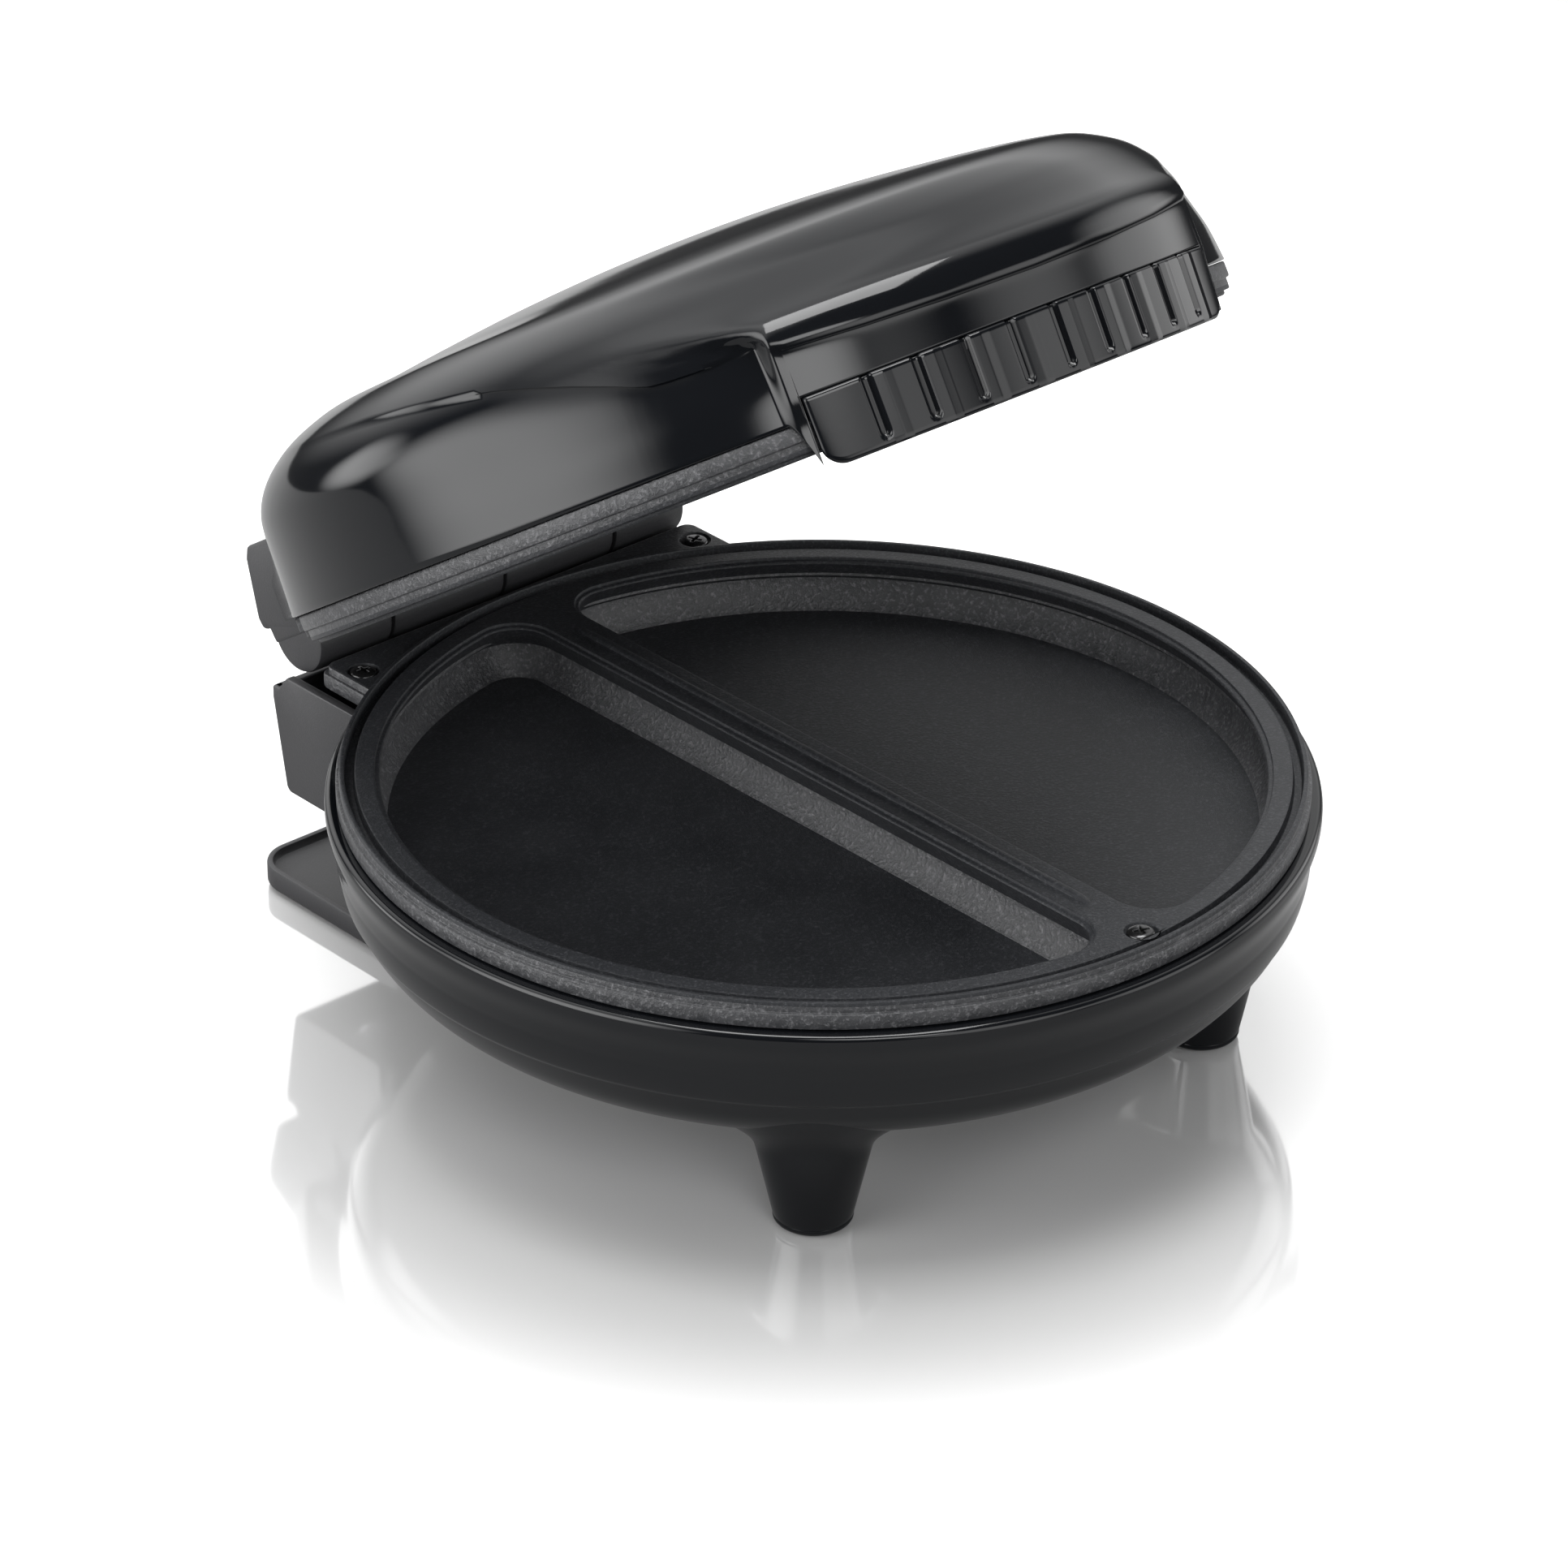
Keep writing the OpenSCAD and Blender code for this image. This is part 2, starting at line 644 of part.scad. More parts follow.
// Rear foot: a lipped plate near the floor and the hollow core that the cord is wound around.
module rear_foot() color(matt) placed() {
    core_front_y = flange_front_y + 4;
    core_len = core_rear_y - core_front_y;
    screw_top = core_top - housing_screw_len + wall + 3;
    difference() {
        union() {
            translate([0, 0, flange_low]) linear_extrude(flange_t) flange_outline(0);
            translate([0, 0, flange_low])
                linear_extrude(flange_t + flange_lip_h)
                    difference() {
                        flange_outline(0);
                        flange_outline(flange_lip_w);
                    }
            difference() {
                translate([-core_half_w, core_front_y, flange_low])
                    cube([2 * core_half_w, core_len, core_top - flange_low]);
                translate([wall - core_half_w, core_front_y + wall, flange_top])
                    cube([2 * (core_half_w - wall), core_len - 2 * wall, core_top]);
            }
            foot_screw_places()
                translate([0, 0, flange_low]) cylinder(h = core_top - flange_low, r = boss_r + 1, $fn = round_fn);
        }
        at_mating() bowl_solid(slide);
        translate([0, core_rear_y + over, bush_z]) rotate([90, 0, 0])
            cylinder(h = 2 * wall, r = bush_neck_r + 0.1, $fn = round_fn);
        for (s = [-1, 1])
            translate([s * pad_x, pad_y, flange_low - over])
                cylinder(h = pad_seat + over, r = pad_r + 0.1, $fn = round_fn);
        foot_screw_places() {
            translate([0, 0, flange_low - over])
                cylinder(h = screw_top - flange_low + over, r = screw_head_r + slide, $fn = round_fn);
            cylinder(h = core_top + over, r = plate_hole_r, $fn = round_fn);
        }
    }
}

module flange_outline(inset) {
    r = flange_corner_r - inset;
    x = flange_half_w - flange_corner_r;
    translate([inset - flange_half_w, flange_front_y])
        square([2 * (flange_half_w - inset), flange_rear_y - flange_front_y - flange_corner_r]);
    for (s = [-1, 1])
        translate([s * x, flange_rear_y - flange_corner_r]) circle(r = r, $fn = round_fn);
    translate([-x, flange_front_y]) square([2 * x, flange_rear_y - flange_front_y - inset]);
}

// Rubber pads under the rear foot.
module rear_foot_pads() color(rubber) placed()
    for (s = [-1, 1])
        translate([s * pad_x, pad_y, 0]) cylinder(h = pad_h + pad_seat, r = pad_r, $fn = round_fn);

// Screws that hold the rear foot to the hinge housing, driven from below.
module rear_foot_screws() color(steel) placed() {
    screw_top = core_top - housing_screw_len + wall + 3;
    foot_screw_places() translate([0, 0, screw_top]) mirror([0, 0, 1]) screw(housing_screw_len);
}

// Screws that hold the hinge housing to the bowl's two rear posts, driven from below.
module housing_screws() color(steel) placed()
    rear_screw_places() translate([0, 0, mating_h - box_floor]) mirror([0, 0, 1]) screw(housing_screw_len);

// Steel rod through all the knuckles.
module hinge_rod() color(steel) placed()
    translate([0, hinge_y, hinge_z]) rotate([0, 90, 0])
        cylinder(h = 2 * rod_half_len, r = rod_r, center = true, $fn = round_fn);

// Bush that lines the way in for the supply cord.
module cord_bush() color(rubber) placed()
    translate([0, core_rear_y, bush_z]) rotate([-90, 0, 0])
        rotate_extrude($fn = round_fn)
            polygon([[inlet_r, -wall - 2], [bush_neck_r + 1, -wall - 2], [bush_neck_r + 1, -wall],
                [bush_neck_r, -wall], [bush_neck_r, 0], [bush_collar_r, 0], [bush_collar_r, 1.6],
                [bush_collar_r - 1, 2.6], [inlet_r, 2.6]]);

module lower_plate() color(coating) placed() at_mating() cooking_plate(false);

module upper_plate() color(coating) swung_open() over_mating() cooking_plate(true);

module plate_screws() {
    screw_places() translate([0, 0, -head_seat]) screw(screw_len);
}

module lower_plate_screws() color(steel) placed() at_mating() plate_screws();

module upper_plate_screws() color(steel) swung_open() over_mating() plate_screws();

// Tubular heater: an open ring whose thin terminal pins go on along the same circle.
module heater() {
    translate([0, 0, -heater_mid]) {
        open_ring(heater_open_deg, heater_r);
        open_ring(heater_open_deg - 2 * pin_deg, pin_r);
    }
}

module open_ring(open, r) {
    rotate(90 + open / 2)
        rotate_extrude(angle = 360 - open, $fn = round_fn)
            translate([heater_ring_r, 0]) circle(r = r, $fn = small_fn);
}

module lower_heater() color(steel) placed() at_mating() heater();

module upper_heater() color(steel) swung_open() over_mating() heater();

// Dished heat shield with one screw hole.
module heat_shield() {
    rim = 2.4;
    translate([0, 0, -shield_depth])
        rotate_extrude($fn = round_fn)
            polygon([[plate_hole_r, 0], [shield_r - 2 - shield_t, 0], [shield_r - shield_t, rim],
                [shield_r, rim], [shield_r - 2, -shield_t], [plate_hole_r, -shield_t]]);
}

module lower_heat_shield() color(steel) placed() at_mating() heat_shield();

module upper_heat_shield() color(steel) swung_open() over_mating() heat_shield();

module shield_screw() {
    translate([0, 0, -shield_depth - shield_t]) mirror([0, 0, 1]) screw(shield_screw_len);
}

module lower_shield_screw() color(steel) placed() at_mating() shield_screw();

module upper_shield_screw() color(steel) swung_open() over_mating() shield_screw();

// Disc thermostat pressed against the underside of one well.
module thermostat() color([0.5, 0.38, 0.3]) placed()
    translate([-sensor_x, 0, mating_h - well_low - heater_gap - thermostat_h]) {
        cylinder(h = thermostat_h, r = thermostat_r, $fn = round_fn);
        for (s = [-1, 1])
            translate([-2, s * (thermostat_r + 2) - 3, 0]) cube([4, 6, 0.8]);
    }

// Thermal fuse lying against the underside of the other well.
module thermal_fuse() color([0.85, 0.84, 0.8]) placed()
    translate([sensor_x, 0, mating_h - well_low - heater_gap - fuse_r]) rotate([90, 0, 0]) {
        cylinder(h = fuse_len, r = fuse_r, center = true, $fn = small_fn);
        cylinder(h = fuse_len + 10, r = 0.6, center = true, $fn = small_fn);
    }

// Terminal block on the floor of the rear foot's core.
module terminal_block() color([0.85, 0.83, 0.76]) placed()
    translate([-terminal_w / 2, wire_y - terminal_d / 2, flange_top])
        difference() {
            cube([terminal_w, terminal_d, terminal_h]);
            translate([terminal_w / 2 - 0.8, -over, terminal_h - 5]) cube([1.6, terminal_d + 2 * over, 5 + over]);
        }

// A round lead through a list of points.
module lead(points) {
    for (i = [0 : len(points) - 2])
        hull()
            for (p = [points[i], points[i + 1]])
                translate(p) sphere(r = lead_r, $fn = 16);
}

// Pair of leads from the terminal block up to the lower heater's pins.
module base_lead() color([0.75, 0.75, 0.7]) placed()
    for (s = [-1, 1])
        difference() {
            lead([[s * lead_x, wire_y, flange_top + terminal_h],
                [s * lead_x, wire_y, mating_h - heater_mid],
                [s * pin_x, pin_y, mating_h - heater_mid]]);
            translate([s * lead_x - 2, wire_y - 2, flange_top + terminal_h - 4]) cube([4, 4, 4]);
        }

// Pair of leads from the hinge cover to the upper heater's pins.
module lid_lead() color([0.75, 0.75, 0.7]) swung_open() over_mating()
    for (s = [-1, 1])
        lead([[s * lead_x, lid_rear_y + 6, -lid_lead_z],
            [s * lead_x, wire_y + 4, -lid_lead_z],
            [s * lead_x, wire_y, -heater_mid],
            [s * pin_x, pin_y, -heater_mid]]);

// Places a shape on the closed lid, measured up from the mating face.
module on_lid() {
    swung_open() at_mating() children();
}

// Half profile of the lid's dome: leaning side, round shoulder and gently raised crown.
module dome_profile(inset, low) {
    shoulder_h = dome_h - dome_crown - dome_side_h;
    polygon(concat(
        [[0, low], [dome_edge_r - inset, low]],
        [for (a = [0 : 6 : 90])
            [dome_flat_r + (dome_side_r - dome_flat_r - inset) * cos(a),
             dome_side_h + (shoulder_h - inset) * sin(a)]],
        [for (k = [0.8 : -0.2 : 0])
            [dome_flat_r * k, dome_side_h + shoulder_h - inset + dome_crown * (1 - k * k)]]));
}

// Half profile of the brow's round, which stands out of the dome only at the front.
module brow_profile(inset, low) {
    rise = dome_h - dome_crown - brow_h - 0.5;
    polygon(concat(
        [[0, low], [brow_r - brow_shift - inset, low]],
        [for (a = [0 : 6 : 90])
            [brow_flat_r + (brow_r - brow_shift - brow_flat_r - inset) * cos(a),
             brow_h + (rise - inset) * sin(a)]],
        [[0, brow_h + rise - inset]]));
}

module lid_rear_block(inset) {
    block_front_y = lid_rear_y - 47;
    translate([inset - lid_rear_half_w, 0, 0]) rotate([90, 0, 90])
        linear_extrude(2 * (lid_rear_half_w - inset))
            polygon([[block_front_y, dome_low - (inset > 0 ? over : 0)],
                [lid_rear_y - inset, dome_low - (inset > 0 ? over : 0)],
                [lid_rear_y - inset, cover_top - 4 - inset / 2],
                [lid_rear_y - 2 - inset, cover_top - inset],
                [block_front_y, cover_top + 18 - inset]]);
}

module lid_solid() {
    rotate_extrude($fn = round_fn) dome_profile(0, dome_low);
    translate([0, -brow_shift, 0]) rotate_extrude($fn = round_fn) brow_profile(0, brow_low);
    lid_rear_block(0);
}

module lid_hollow() {
    rotate_extrude($fn = round_fn) dome_profile(wall, dome_low - over);
    translate([0, -brow_shift, 0]) rotate_extrude($fn = round_fn) brow_profile(wall, brow_low + brow_t);
    lid_rear_block(wall);
}

// The handle's front face, under the brow and a little narrower than the posts at its two ends.
module handle_front() {
    face_r = brow_r - 1.6;
    rotate(-90 - handle_deg - post_deg / 2)
        rotate_extrude(angle = 2 * handle_deg + post_deg, $fn = round_fn)
            polygon([[dome_side_r - 1.4, grip_top + 0.1], [face_r - 0.6, grip_top + 0.1],
                [face_r, brow_h - 1], [dome_side_r - 1.4, brow_h - 1]]);
    for (s = [0, 1]) mirror([s, 0, 0])
        rotate(handle_deg - 90)
            rotate_extrude(angle = post_deg, $fn = round_fn)
                polygon([[grip_r - grip_t, -grip_low], [grip_r - 1, -grip_low], [grip_r - 0.4, 1 - grip_low],
                    [grip_r - 0.4, grip_top - 1], [face_r - 0.3, brow_h - 1.5], [dome_side_r - wall, brow_h - 1.5],
                    [dome_side_r - wall, dome_low + 3], [dome_edge_r - wall, dome_low], [grip_r - grip_t, dome_low]]);
}

// Gloss dome with its brow over the handle and the bosses for the upper plate.
module lid_housing() color(gloss) on_lid() {
    difference() {
        union() {
            difference() {
                union() {
                    lid_solid();
                    handle_front();
                }
                lid_hollow();
            }
            intersection() {
                screw_places() translate([0, 0, dome_low]) cylinder(h = dome_h, r = boss_r, $fn = round_fn);
                lid_solid();
            }
        }
        screw_places()
            translate([0, 0, dome_low - over]) cylinder(h = screw_len, r = boss_hole_r, $fn = round_fn);
        translate([-2 * lid_rear_half_w, lid_rear_y, dome_low - over])
            cube([4 * lid_rear_half_w, 4 * wall, dome_h]);
        cover_screw_places() rotate([-90, 0, 0]) {
            translate([0, 0, -wall - over]) cylinder(h = 2 * wall + over, r = plate_hole_r, $fn = round_fn);
            translate([0, 0, -2 * wall - screw_head_h])
                cylinder(h = wall + screw_head_h, r = screw_head_r + slide, $fn = round_fn);
        }
        for (s = [-1, 1])
            translate([s * lead_x, lid_rear_y - wall - over, lid_lead_z + plate_gap]) rotate([-90, 0, 0])
                cylinder(h = 2 * wall + over, r = lead_r + slide * 2, $fn = small_fn);
    }
}

module cover_screw_places() {
    for (s = [-1, 1]) translate([s * cover_screw_x, lid_rear_y, cover_screw_z]) children();
}

// Fluted finger grip below the brow.
module handle_grip() color(gloss) on_lid() {
    difference() {
        rotate(-90 - handle_deg)
            rotate_extrude(angle = 2 * handle_deg, $fn = round_fn)
                polygon([[grip_r - grip_t, -grip_low], [grip_r - 0.8, -grip_low], [grip_r, 0.8 - grip_low],
                    [grip_r - 0.5, grip_top - 1], [grip_r - 1.5, grip_top], [dome_side_r, grip_top],
                    [dome_side_r, dome_low + 1], [grip_r - grip_t, dome_low + 1]]);
        rotate_extrude($fn = round_fn) dome_profile(-0.05, dome_low);
        for (i = [0 : flute_count - 1])
            rotate((i - (flute_count - 1) / 2) * flute_deg)
                translate([0, -grip_r, -grip_low - over])
                    rotate(45) cube([flute_depth * 1.5, flute_depth * 1.5, 4 * grip_top], center = true);
    }
}

// Matt cover behind the lid, one piece with the lid's two knuckles.
module lid_hinge_cover() color(matt) on_lid() {
    cover_front = lid_rear_y + 0.1;
    difference() {
        union() {
            translate([-hinge_half_w, 0, 0]) rotate([90, 0, 90])
                linear_extrude(2 * hinge_half_w)
                    polygon([[cover_front, hinge_rise], [cover_front, cover_top - 4], [cover_front + 2, cover_top],
                        [cover_top_y - 3, cover_top], [cover_top_y - 0.8, cover_top - 0.8],
                        [cover_top_y, cover_top - 3], [cover_low_y, cover_low + 1],
                        [cover_low_y, cover_low], [hinge_y + lid_knuckle_r, hinge_rise]]);
            at_axis() cylinder(h = 2 * hinge_half_w, r = lid_knuckle_r, center = true, $fn = round_fn);
        }
        translate([-inner_cut, cover_front - over, hinge_rise - 2 * lid_knuckle_r])
            cube([2 * inner_cut, 4 * lid_knuckle_r, 2 * lid_knuckle_r + 4]);
        at_axis() cylinder(h = 2 * inner_cut, r = base_knuckle_r + knuckle_gap, center = true, $fn = round_fn);
        at_axis() cylinder(h = 2 * rod_half_len + slide, r = rod_r + rod_clear, center = true, $fn = round_fn);
        difference() {
            translate([wall - hinge_half_w, cover_front - over, cover_hollow_z])
                cube([2 * (hinge_half_w - wall), cover_top_y - wall - cover_front, cover_top - wall - cover_hollow_z]);
            cover_screw_places() rotate([-90, 0, 0])
                cylinder(h = 30, r = boss_r, $fn = round_fn);
        }
        cover_screw_places() rotate([-90, 0, 0])
            translate([0, 0, -over]) cylinder(h = cover_screw_len, r = boss_hole_r, $fn = round_fn);
    }
}

module at_axis() {
    translate([0, hinge_y, hinge_rise]) rotate([0, 90, 0]) children();
}

// Screws that hold the hinge cover, driven from inside the lid.
module lid_cover_screws() color(steel) on_lid()
    cover_screw_places() translate([0, -wall, 0]) rotate([90, 0, 0]) screw(cover_screw_len);

base_housing();
hinge_housing();
rear_foot();
front_foot_tips();
rear_foot_pads();
rear_foot_screws();
hinge_rod();
cord_bush();
lower_plate();
lower_plate_screws();
lower_heater();
lower_heat_shield();
lower_shield_screw();
thermostat();
thermal_fuse();
terminal_block();
base_lead();
housing_screws();
lid_housing();
handle_grip();
lid_hinge_cover();
upper_plate();
upper_plate_screws();
upper_heater();
upper_heat_shield();
upper_shield_screw();
lid_cover_screws();
lid_lead();
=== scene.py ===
import json
from math import acos, atan2, cos, exp, hypot, pi, radians, sin, sqrt, tan
import bpy
import bmesh
import numpy as np
from mathutils import Matrix, Vector


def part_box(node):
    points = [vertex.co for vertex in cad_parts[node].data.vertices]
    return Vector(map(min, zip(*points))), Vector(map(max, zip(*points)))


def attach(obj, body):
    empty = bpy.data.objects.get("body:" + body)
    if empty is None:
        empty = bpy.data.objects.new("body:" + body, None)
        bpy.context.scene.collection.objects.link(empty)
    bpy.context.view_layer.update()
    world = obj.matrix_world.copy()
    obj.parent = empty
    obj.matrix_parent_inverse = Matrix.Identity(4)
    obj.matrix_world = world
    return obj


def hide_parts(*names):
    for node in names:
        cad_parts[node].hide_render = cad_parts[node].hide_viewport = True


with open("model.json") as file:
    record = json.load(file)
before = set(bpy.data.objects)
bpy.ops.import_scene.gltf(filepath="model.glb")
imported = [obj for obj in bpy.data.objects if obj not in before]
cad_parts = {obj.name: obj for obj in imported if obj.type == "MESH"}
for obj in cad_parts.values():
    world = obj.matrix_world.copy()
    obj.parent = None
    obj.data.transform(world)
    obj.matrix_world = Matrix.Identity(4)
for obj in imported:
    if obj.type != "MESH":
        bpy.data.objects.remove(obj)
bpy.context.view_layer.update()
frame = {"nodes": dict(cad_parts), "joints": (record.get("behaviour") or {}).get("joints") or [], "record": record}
nodes = frame["nodes"]
mm = 0.001
mergeDistance = 0.002

# where the object stands in the frame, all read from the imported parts
shieldLow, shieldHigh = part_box("lower_heat_shield")
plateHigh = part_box("lower_plate")[1]
plateCentre = Vector((0, (shieldLow.y + shieldHigh.y) / 2, 0))
matingZ = plateHigh.z
lidHinge = frame["joints"][0]
hingePoint = Vector(lidHinge["pos_m"])
lidOpen = radians(-lidHinge["range_deg"][0])


# mesh helpers: shapes are drawn in mm round the plate's centre, z from the mating face

class Builder:
    def __init__(self):
        self.verts = []
        self.faces = []
        self.marks = []

    def add(self, points, faces, mark=0):
        start = len(self.verts)
        self.verts.extend([tuple(p) for p in points])
        for f in faces:
            self.faces.append([start + i for i in f])
            self.marks.append(mark)

    # loops of equal length, skinned one to the next
    def skin(self, loops, mark=0, closed=True, capStart=False, capEnd=False, ring=False):
        n = len(loops[0])
        points = [p for loop in loops for p in loop]
        faces = []
        rows = len(loops)
        last = rows if ring else rows - 1
        for r in range(last):
            a, b = r * n, ((r + 1) % rows) * n
            for i in range(n if closed else n - 1):
                j = (i + 1) % n
                faces.append([a + i, a + j, b + j, b + i])
        if capStart:
            faces.append(list(range(n))[::-1])
        if capEnd:
            faces.append([(rows - 1) * n + i for i in range(n)])
        self.add(points, faces, mark)

    # a profile of (radius, z) turned about the plate's axis or another upright one
    def spin(self, profile, centre=(0, 0), steps=192, mark=0, ring=True):
        self.skin([circleLoop(r, z, centre, steps) for r, z in profile], mark, ring=ring)

    # a profile of (x, radius) turned about an axis along X through (y, z)
    def spinX(self, profile, axis, steps=96, ring=True):
        loops = [[(x, y, z) for y, z, flat in circleLoop(r, 0, axis, steps)] for x, r in profile]
        self.skin(loops, ring=ring)

    # a flat face with holes, all loops in one plane
    def sheet(self, outer, holes=(), mark=0, up=True):
        bm = bmesh.new()
        edges = []
        for loop in [outer] + list(holes):
            vs = [bm.verts.new(p) for p in loop]
            edges += [bm.edges.new((vs[i], vs[(i + 1) % len(vs)])) for i in range(len(vs))]
        bmesh.ops.triangle_fill(bm, use_beauty=True, use_dissolve=False, edges=edges)
        bm.verts.index_update()
        points = [tuple(v.co) for v in bm.verts]
        faces = []
        for f in bm.faces:
            ids = [v.index for v in f.verts]
            f.normal_update()
            if (f.normal.z > 0) != up:
                ids.reverse()
            faces.append(ids)
        bm.free()
        self.add(points, faces, mark)

    def object(self, name, materials, sharp, onLid=False, recalc=True):
        points = np.array(self.verts, float)
        points = placeOnLid(points) if onLid else placeOnBase(points)
        mesh = rawMesh(name, points.tolist(), self.faces)
        for m in materials:
            mesh.materials.append(m)
        mesh.polygons.foreach_set("material_index", self.marks)
        cleanMesh(mesh, mergeDistance * mm, recalc)
        return smoothObject(name, mesh, sharp)


def circleLoop(r, z, centre=(0, 0), steps=192):
    return [(centre[0] + r * cos(a), centre[1] + r * sin(a), z)
            for a in np.linspace(0, 2 * pi, steps, endpoint=False)]


# the point at a radius and a turn in degrees from the front
def fromFront(r, turn, z):
    return r * sin(radians(turn)), -r * cos(radians(turn)), z


def rawMesh(name, points, faces):
    mesh = bpy.data.meshes.new(name)
    mesh.from_pydata(points, [], faces)
    return mesh


def cleanMesh(mesh, mergeBy=0.0, recalc=True):
    bm = bmesh.new()
    bm.from_mesh(mesh)
    if mergeBy:
        bmesh.ops.remove_doubles(bm, verts=bm.verts, dist=mergeBy)
    if recalc:
        bmesh.ops.recalc_face_normals(bm, faces=bm.faces)
    bm.to_mesh(mesh)
    bm.free()
    return mesh


def addObject(name, data):
    made = bpy.data.objects.new(name, data)
    bpy.context.scene.collection.objects.link(made)
    return made


def smoothObject(name, mesh, sharp):
    mesh.polygons.foreach_set("use_smooth", [True] * len(mesh.polygons))
    mesh.set_sharp_from_angle(angle=radians(sharp))
    return addObject(name, mesh)


def placeOnBase(points):
    return points * mm + np.array([0, plateCentre.y, matingZ])


# lid pieces are drawn closed and swung open about the hinge
def placeOnLid(points):
    p = placeOnBase(points)
    y, z = p[:, 1] - hingePoint.y, p[:, 2] - hingePoint.z
    c, s = cos(lidOpen), sin(lidOpen)
    return np.stack([p[:, 0], hingePoint.y + y * c + z * s, hingePoint.z - y * s + z * c], 1)


def smoothPath(points, per=8):
    pts = [np.array(p, float) for p in points]
    pts = [2 * pts[0] - pts[1]] + pts + [2 * pts[-1] - pts[-2]]
    out = []
    for i in range(1, len(pts) - 2):
        a, b, c, d = pts[i - 1:i + 3]
        for t in np.linspace(0, 1, per, endpoint=False):
            out.append(tuple(0.5 * ((2 * b) + (c - a) * t + (2 * a - 5 * b + 4 * c - d) * t * t
                                    + (3 * b - a - 3 * c + d) * t ** 3)))
    out.append(tuple(pts[-2]))
    return out


# rounds the corners of a closed polyline in a plane
def roundCorners(points, radius, steps=5):
    pts = [np.array(p, float) for p in points]
    n = len(pts)
    out = []
    for i in range(n):
        r = radius[i] if isinstance(radius, list) else radius
        p, a, b = pts[i], pts[i - 1], pts[(i + 1) % n]
        u, v = (a - p) / np.linalg.norm(a - p), (b - p) / np.linalg.norm(b - p)
        half = acos(max(-1, min(1, float(u @ v)))) / 2
        if r <= 0 or half > pi / 2 - 0.02:
            out.append(tuple(p))
            continue
        cut = min(r / tan(half), np.linalg.norm(a - p) * 0.48, np.linalg.norm(b - p) * 0.48)
        r = cut * tan(half)
        centre = p + (u + v) / np.linalg.norm(u + v) * (r / sin(half))
        s, e = p + u * cut - centre, p + v * cut - centre
        turn = acos(max(-1, min(1, float(s @ e) / (r * r))))
        sign = 1 if s[0] * e[1] - s[1] * e[0] > 0 else -1
        for t in np.linspace(0, turn, steps + 1):
            c, q = cos(t * sign), sin(t * sign)
            out.append(tuple(centre + np.array([s[0] * c - s[1] * q, s[0] * q + s[1] * c])))
    return out


def blendStep(x, low, high):
    t = min(1, max(0, (x - low) / (high - low)))
    return t * t * (3 - 2 * t)


# materials

def newMaterial(name):
    m = bpy.data.materials.new(name)
    m.use_nodes = True
    tree = m.node_tree
    return m, tree, tree.nodes["Principled BSDF"]


# sets or links inputs of a node
def feed(tree, node, sockets):
    for socket, value in sockets.items():
        if isinstance(value, bpy.types.NodeSocket):
            tree.links.new(value, node.inputs[socket])
        else:
            node.inputs[socket].default_value = value


def addNode(tree, kind, sockets=None, **settings):
    node = tree.nodes.new(kind)
    for name, value in settings.items():
        setattr(node, name, value)
    feed(tree, node, sockets or {})
    return node


def calc(tree, operation, a, b=None, c=None, clamp=False):
    values = {i: v for i, v in enumerate((a, b, c)) if v is not None}
    return addNode(tree, "ShaderNodeMath", values, operation=operation, use_clamp=clamp).outputs[0]


# a node group with named sockets: the group, what it is given and its output node
def newGroup(name, kind, inputs, outputs):
    group = bpy.data.node_groups.new(name, kind)
    for side, sockets in (("INPUT", inputs), ("OUTPUT", outputs)):
        for label, socket in sockets.items():
            group.interface.new_socket(label, in_out=side, socket_type="NodeSocket" + socket)
    return group, group.nodes.new("NodeGroupInput").outputs, group.nodes.new("NodeGroupOutput")


# mixes fine grain and broad unevenness into a colour, a roughness and a height
def surfaceWearGroup():
    g, given, result = newGroup("surfaceWear", "ShaderNodeTree", {
        "Color": "Color", "Lighter": "Color", "Roughness": "Float", "Roughness Spread": "Float",
        "Grain Scale": "Float", "Grain Height": "Float", "Broad Scale": "Float", "Speckle": "Float",
    }, {"Color": "Color", "Roughness": "Float", "Height": "Float"})
    place = g.nodes.new("ShaderNodeTexCoord").outputs["Object"]
    grain = addNode(g, "ShaderNodeTexNoise", {
        "Vector": place, "Scale": given["Grain Scale"], "Detail": 4, "Roughness": 0.65,
    }, noise_dimensions="3D").outputs["Fac"]
    broad = addNode(g, "ShaderNodeTexNoise", {
        "Vector": place, "Scale": given["Broad Scale"], "Detail": 3,
    }, noise_dimensions="3D").outputs["Fac"]
    # speckle: the highest grains turn lighter
    peak = addNode(g, "ShaderNodeMapRange", {"Value": grain, "From Min": 0.52, "From Max": 0.72}, clamp=True)
    amount = calc(g, "MULTIPLY", peak.outputs["Result"], given["Speckle"])
    patch = calc(g, "MULTIPLY_ADD", broad, 0.25, amount, clamp=True)
    tint = addNode(g, "ShaderNodeMix", {0: patch, 6: given["Color"], 7: given["Lighter"]}, data_type="RGBA")
    centred = calc(g, "SUBTRACT", broad, 0.5)
    rough = calc(g, "MULTIPLY_ADD", centred, given["Roughness Spread"], given["Roughness"], clamp=True)
    height = calc(g, "MULTIPLY", grain, given["Grain Height"])
    feed(g, result, {"Color": tint.outputs[2], "Roughness": rough, "Height": height})
    return g


surfaceWear = surfaceWearGroup()


